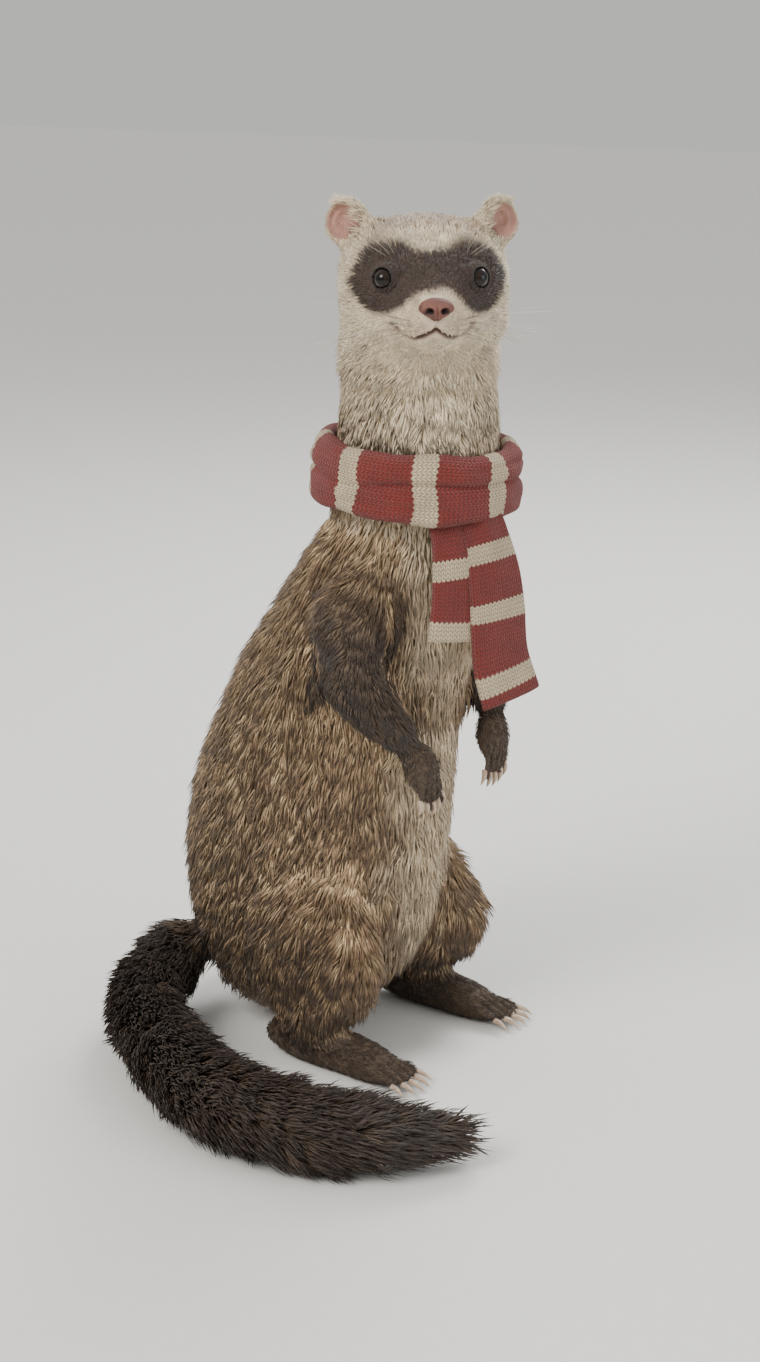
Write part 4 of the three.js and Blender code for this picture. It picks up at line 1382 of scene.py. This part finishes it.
for side in (-1, 1):
    for row in range(4):
        for column in range(5 - row % 2):
            fore = 38.5 - column * 2.1 - row * 0.5
            rise = -6.2 - row * 1.9
            lifted = 0.16 - 0.13 * row + random.normal(0, 0.05)
            sweep = head_direction(side * 0.9, 0.42 - 0.2 * column, lifted)
            long = (15 + 6.2 * column) * random.uniform(0.9, 1.12)
            whisker(on_head(0, fore, rise), head_direction(side, 0.1, -0.05), sweep, long)
    for k in range(3):
        whisker(on_head(side * 12, 14, 4), head_direction(side * (0.1 + 0.12 * k), 0.45, 0.9),
                head_direction(side * (0.35 + 0.28 * k + random.normal(0, 0.1)), 0.6, 0.8), 12 + 3.5 * k)
    for k in range(3):
        whisker(on_head(side * 8, 6, -10 - 2 * k), head_direction(side, 0.35 - 0.3 * k, -0.2),
                head_direction(side * 0.9, -0.1, -0.45), 15 + 2 * k)
    for k in range(2):
        whisker(on_head(side * 1.5, 28 - 3 * k, -12), head_direction(side * 0.4, 0.1, -1),
                head_direction(side * 0.5, 0.2, -0.9), 8)


print("whiskers:", len(grown))

# %% [markdown]
# All of them become one mesh, ring by ring. Each bends back and down towards its tip, and pales.

# %% Whiskers
WHISKER_THICK = 0.13
WHISKER_STEPS = 10
WHISKER_SIDES = 5
WHISKER_BASE, WHISKER_TIP = np.array([0.20, 0.14, 0.10]), np.array([0.78, 0.70, 0.58])
whisker_sag = np.array(head_turned @ Vector((0, 0.16, -0.12)))

roots, ways, lengths = (np.array(column) for column in zip(*grown))
lengths = lengths[:, None]
aside = unit(np.cross(ways, [0.1, 0.2, 1.0]))
over = np.cross(ways, aside)
rings = []
tones = []
for k in range(WHISKER_STEPS + 1):
    t = k / WHISKER_STEPS
    centre = roots + ways * lengths * t + whisker_sag * lengths * t ** 2
    half = WHISKER_THICK * MM * (1 - 0.9 * t)
    for turn in np.linspace(0, 2 * math.pi, WHISKER_SIDES, endpoint=False):
        rings.append(centre + (aside * math.cos(turn) + over * math.sin(turn)) * half)
        tones.append(WHISKER_BASE * (1 - t) + WHISKER_TIP * t)
places = np.stack(rings, 1)
last = WHISKER_STEPS * WHISKER_SIDES
faces = [tuple(range(WHISKER_SIDES))[::-1], tuple(range(last, last + WHISKER_SIDES))]
for first in range(0, last, WHISKER_SIDES):
    for i in range(WHISKER_SIDES):
        j = (i + 1) % WHISKER_SIDES
        faces.append((first + i, first + j, first + WHISKER_SIDES + j, first + WHISKER_SIDES + i))
every = [tuple(n * len(rings) + i for i in face) for n in range(len(grown)) for face in faces]
made = bpy.data.meshes.new("whiskers")
made.from_pydata(places.reshape(-1, 3).tolist(), [], every)
shape = bmesh.new()
shape.from_mesh(made)
bmesh.ops.recalc_face_normals(shape, faces=shape.faces)
shape.to_mesh(made)
shape.free()
whiskers = added("whiskers", made)
paint(whiskers, "marking", np.tile(np.array(tones), (len(grown), 1)))
whisker_hair, tree, shader = painted_material("whisker_hair", 300, 0.9, 1.1, roughness=0.35)
finished(whiskers, whisker_hair, "face_coat")

# %% [markdown]
# ## Scarf
# The scarf is a knitted band with pale stripes, wound round the neck in a soft ring with two ends
# hanging on the chest. A flat grid is rolled into a band with rounded edges and bent along the
# ring or down the chest. Each corner also keeps its distance to the nearest stripe's edge.

# %% The knitted wool
plain_knit, entry, leave = new_group("plain_knit", ["Cloth"], ["Column", "Row"], ["Height", "Slant"])


def in_knit(operation, *values):
    return maths(plain_knit, operation, *values)


def squared_bow(value):
    """1 at both ends of a stitch and 0 in its middle."""
    return in_knit("POWER", in_knit("ABSOLUTE", in_knit("MULTIPLY_ADD", value, 2.0, -1.0)), 2.0)


split = add_node(plain_knit, "ShaderNodeSeparateXYZ", None, Vector=entry.outputs["Cloth"])
across = in_knit("FRACT", in_knit("DIVIDE", split.outputs["X"], entry.outputs["Column"]))
off = in_knit("ABSOLUTE", in_knit("SUBTRACT", in_knit("MULTIPLY", across, 2.0), 1.0))
row = in_knit("DIVIDE", split.outputs["Y"], entry.outputs["Row"])
strand = in_knit("FRACT", in_knit("SUBTRACT", row, in_knit("MULTIPLY", off, 0.7)))
round_row = in_knit("SUBTRACT", 1.0, squared_bow(strand))
round_loop = in_knit("MULTIPLY_ADD", squared_bow(off), -0.75, 1.0)
plain_knit.links.new(in_knit("MULTIPLY", round_row, round_loop), leave.inputs["Height"])
plain_knit.links.new(off, leave.inputs["Slant"])

COLUMN = 2.1 * MM
ROW = 1.7 * MM
RUST = (0.22, 0.020, 0.013)
IVORY = (0.68, 0.54, 0.36)
scarf_wool, tree, shader = new_material("scarf_wool", roughness=0.92,
                                        Sheen_Weight=0.12, Sheen_Roughness=0.5)
cloth = add_node(tree, "ShaderNodeUVMap", {"uv_map": "cloth"}).outputs["UV"]
knit = add_node(tree, "ShaderNodeGroup", {"node_tree": plain_knit}, Cloth=cloth, Column=COLUMN, Row=ROW)
stripe = add_node(tree, "ShaderNodeAttribute", {"attribute_name": "stripe"}).outputs["Fac"]
stepped = maths(tree, "MULTIPLY_ADD", knit.outputs["Slant"], -0.9, maths(tree, "ADD", stripe, 0.45))
stripe_share = add_node(tree, "ShaderNodeMapRange", None, Value=stepped, From_Min=-0.12, From_Max=0.12)
yarn = mixed(tree, stripe_share.outputs["Result"], RUST, IVORY)
# Painted shade: the yarn is darker where the knit is low, in the hollows between the stitches.
yarn = shaded(tree, yarn, maths(tree, "MULTIPLY_ADD", knit.outputs["Height"], 0.6, 0.48))
yarn = shaded(tree, yarn, varied(tree, 120, 0.86, 1.12))
tree.links.new(yarn, shader.inputs["Base Color"])
fibres = varied(tree, 3200, 0.0, 0.35)
bumped(tree, shader, maths(tree, "ADD", knit.outputs["Height"], fibres), 0.75 * MM)
print("stitches:", round(COLUMN / MM, 2), "x", round(ROW / MM, 2), "mm")

# %% [markdown]
# A band starts as a square grid. One of its sides goes round the band's rounded outline and the
# other along its course. The seams are then merged and open ends closed.

# %% Rolling a grid into a band
def band_outline(share, half_width, half_thick):
    """Across and out on a flat band's rounded outline, starting at the middle of its back."""
    flat = half_width - half_thick
    arc = math.pi * half_thick
    far = share * (4 * flat + 2 * arc)
    first = (far - flat) / half_thick
    second = (far - 3 * flat - arc) / half_thick
    stretch = [far < flat, far < flat + arc, far < 3 * flat + arc, far < 3 * flat + 2 * arc]
    across = np.select(stretch, [far, flat + half_thick * np.sin(first), 2 * flat + arc - far,
                                 -flat - half_thick * np.sin(second)], far - 4 * flat - 2 * arc)
    out = np.select(stretch, [-half_thick, -half_thick * np.cos(first), half_thick,
                              half_thick * np.cos(second)], -half_thick)
    return across, out


def rolled_band(piece_name, around, along, bend, girth, reach, *replaced):
    """A grid bent by a function of its two shares, then closed along its seams."""
    shape = bmesh.new()
    uv = shape.loops.layers.uv.new("cloth")
    edge = shape.verts.layers.float.new("stripe")
    bmesh.ops.create_grid(shape, x_segments=around, y_segments=along, size=0.5, calc_uvs=True)
    grid = np.array([v.co for v in shape.verts]) + 0.5
    places, stripes = bend(grid[:, 0], grid[:, 1])
    for v, place_of_v, stripe_of_v in zip(shape.verts, places, stripes):
        v.co = place_of_v
        v[edge] = stripe_of_v
    for face in shape.faces:
        for loop in face.loops:
            loop[uv].uv = (loop[uv].uv[0] * girth * MM, loop[uv].uv[1] * reach * MM)
    bmesh.ops.remove_doubles(shape, verts=shape.verts, dist=1e-6)
    open_edges = [e for e in shape.edges if e.is_boundary]
    if open_edges:
        bmesh.ops.holes_fill(shape, edges=open_edges)
    bmesh.ops.recalc_face_normals(shape, faces=shape.faces)
    piece = object_from(piece_name, shape)
    finished(piece, scarf_wool, "scarf_wool", *replaced)
    return piece


print("outline of a flat band at its start:", [float(v[0]) for v in band_outline(np.zeros(1), 13, 2)])

# %% [markdown]
# The ring is one turn of the band, folded in two, so a crease wanders round it. It fits the neck,
# stands a little lower in front, and has eight stripes.

# %% Ring round the neck
RING_MIDDLE = 37.3
RING_THICK = 3.9
RING_HALF = 13.2
RING_STRIPES = 8
RING_GIRTH = 28 * COLUMN / MM
RING_REACH = 140 * ROW / MM
RING_BACK, RING_UP = 2, 247  # from the middle of the place system
STRIPE_HALF = 4.7
ring_tilt = math.radians(4)


def groove(across, middle, half, power=2):
    """1 on a line along the band, falling to 0 at both sides."""
    return np.exp(-(np.abs(across - middle) / half) ** power)


def ring_bend(around, along):
    turn = along * 2 * math.pi
    tall = RING_HALF + 0.6 * np.sin(4 * turn + 1) + 0.35 * np.sin(9 * turn)
    across, out = band_outline(around, np.full(len(around), RING_HALF), np.full(len(around), RING_THICK))
    across = across * tall / RING_HALF
    outer = np.clip((out + RING_THICK) / (2 * RING_THICK), 0, 1)
    crease = 1.0 + 1.7 * np.sin(2 * turn + 0.7) + 0.7 * np.sin(5 * turn + 2)
    fold = -2.1 * (0.8 + 0.2 * np.sin(3 * turn + 1)) * groove(across, crease, 1.35, 1.5)
    low_crease = groove(across, -7.2 + 1.3 * np.sin(3 * turn + 2.2), 1.2)
    fold = fold - 0.75 * np.clip(np.sin(2 * turn + 2.6) + 0.4, 0, 1) * low_crease
    high_crease = groove(across, 7.4 + 1.2 * np.sin(3 * turn + 5), 1.1)
    fold = fold - 0.6 * np.clip(np.sin(2 * turn + 5.3) + 0.3, 0, 1) * high_crease
    ripple = 0.28 * np.sin(11 * turn + across * 0.5) + 0.24 * np.sin(7 * turn - across * 0.35 + 1)
    waist = -0.021 * np.maximum(across - 6, 0) ** 2
    lean_in = -1.5 * step_between(across, 3, RING_HALF)
    radius = RING_MIDDLE + out + lean_in + (fold + ripple + waist) * outer
    x = radius * np.sin(CAMERA_TURN + turn)
    y = -radius * np.cos(CAMERA_TURN + turn) * 1.03
    tilted_y = y * math.cos(ring_tilt) - across * math.sin(ring_tilt) + RING_BACK
    tilted_z = y * math.sin(ring_tilt) + across * math.cos(ring_tilt) + RING_UP
    places = np.array(origin) + np.stack([x, tilted_y, tilted_z], 1) * MM
    spacing = 2 * math.pi / RING_STRIPES
    lean = 0.02 * np.sin(across * 0.25 + 3 * turn)
    off = (turn + lean - math.radians(3) + spacing / 2) % spacing - spacing / 2
    return places, STRIPE_HALF - np.abs(off) * (RING_MIDDLE + RING_THICK)


scarf_ring = rolled_band("scarf_ring", 130, 420, ring_bend, RING_GIRTH, RING_REACH, "scarf_wrap")

# %% [markdown]
# The ends come out under the ring and hang on the chest. Knitted edges roll a little to the back,
# and the cloth waves gently down its length. The stripes are set at the drawn distances.

# %% Hanging ends
END_THICK = 1.7
END_STEPS = 200
# Each course: left, forward and up in millimetres, from under the ring to the free end.
LONG_COURSE = [(-10, 30, 240), (-10, 36.6, 230), (-9.5, 40.8, 216), (-7.5, 42.2, 199),
               (-6, 43, 178), (-3, 46.5, 161)]
SHORT_COURSE = [(-18, 24, 240), (-19, 28.5, 230), (-20, 32, 218), (-19.5, 33, 203),
                (-21, 32.5, 186)]
LONG_STRIPES = [(18.0, 25.2), (41.4, 49.0), (69.4, 77.4)]
SHORT_STRIPES = [(22.6, 30.2), (47.8, 60)]


def end_bend(course, halves, facing, stripes):
    """The function that bends a grid into an end, and the end's length."""
    facing = unit(np.array([facing[0], -facing[1], facing[2]], float))
    line, reach = smooth_course([(a, -b, c) for a, b, c in course], END_STEPS)
    ways = unit(np.gradient(line, axis=0))

    def along_line(values, far):
        return np.stack([np.interp(far, np.arange(END_STEPS), values[:, k]) for k in range(3)], 1)

    def bend(around, along):
        far = np.clip(along, 0, 1) * (END_STEPS - 1)
        spot = along_line(line, far)
        way = unit(along_line(ways, far))
        half = np.interp(along, np.linspace(0, 1, len(halves)), halves)
        length_mm = along * reach
        close = np.clip(np.minimum(length_mm, reach - length_mm) / 1.6, 0, 1)
        thin = np.sqrt(np.clip(1 - (1 - close) ** 2, 0.02, 1))
        across, out = band_outline(around, half, np.full(len(around), END_THICK))
        side = unit(np.cross(way, facing))
        front = np.cross(side, way)
        roll = -1.5 * (np.abs(across) / half) ** 3
        wave = 0.48 * np.sin(length_mm / 9 + across * 0.12) * np.clip(along * 2, 0, 1)
        pleat = 0.9 * np.cos(across / half * math.pi * 1.5) * np.clip(1 - along * 1.7, 0, 1)
        lifted = out * thin + roll + wave + pleat
        places = spot + side * across[:, None] + front * lifted[:, None]
        outside = [abs(length_mm - (a + b) / 2) - (b - a) / 2 for a, b in stripes]
        return np.array(origin) + places * MM, -np.min(outside, axis=0)

    return bend, reach


ENDS = [
    ("scarf_long_end", "scarf_end_long",
     LONG_COURSE, [9.5, 10, 11.6, 12.8, 13, 13.2], (-0.4, 0.92, 0), LONG_STRIPES),
    ("scarf_short_end", "scarf_end_short",
     SHORT_COURSE, [9.5, 9.9, 11.4, 12.6, 13], (-0.5, 0.86, 0), SHORT_STRIPES)]
for end_name, node, *shape_of_end in ENDS:
    bend, reach = end_bend(*shape_of_end)
    piece = rolled_band(end_name, 100, 170, bend, 28 * COLUMN / MM, round(reach / 1.7) * ROW / MM, node)
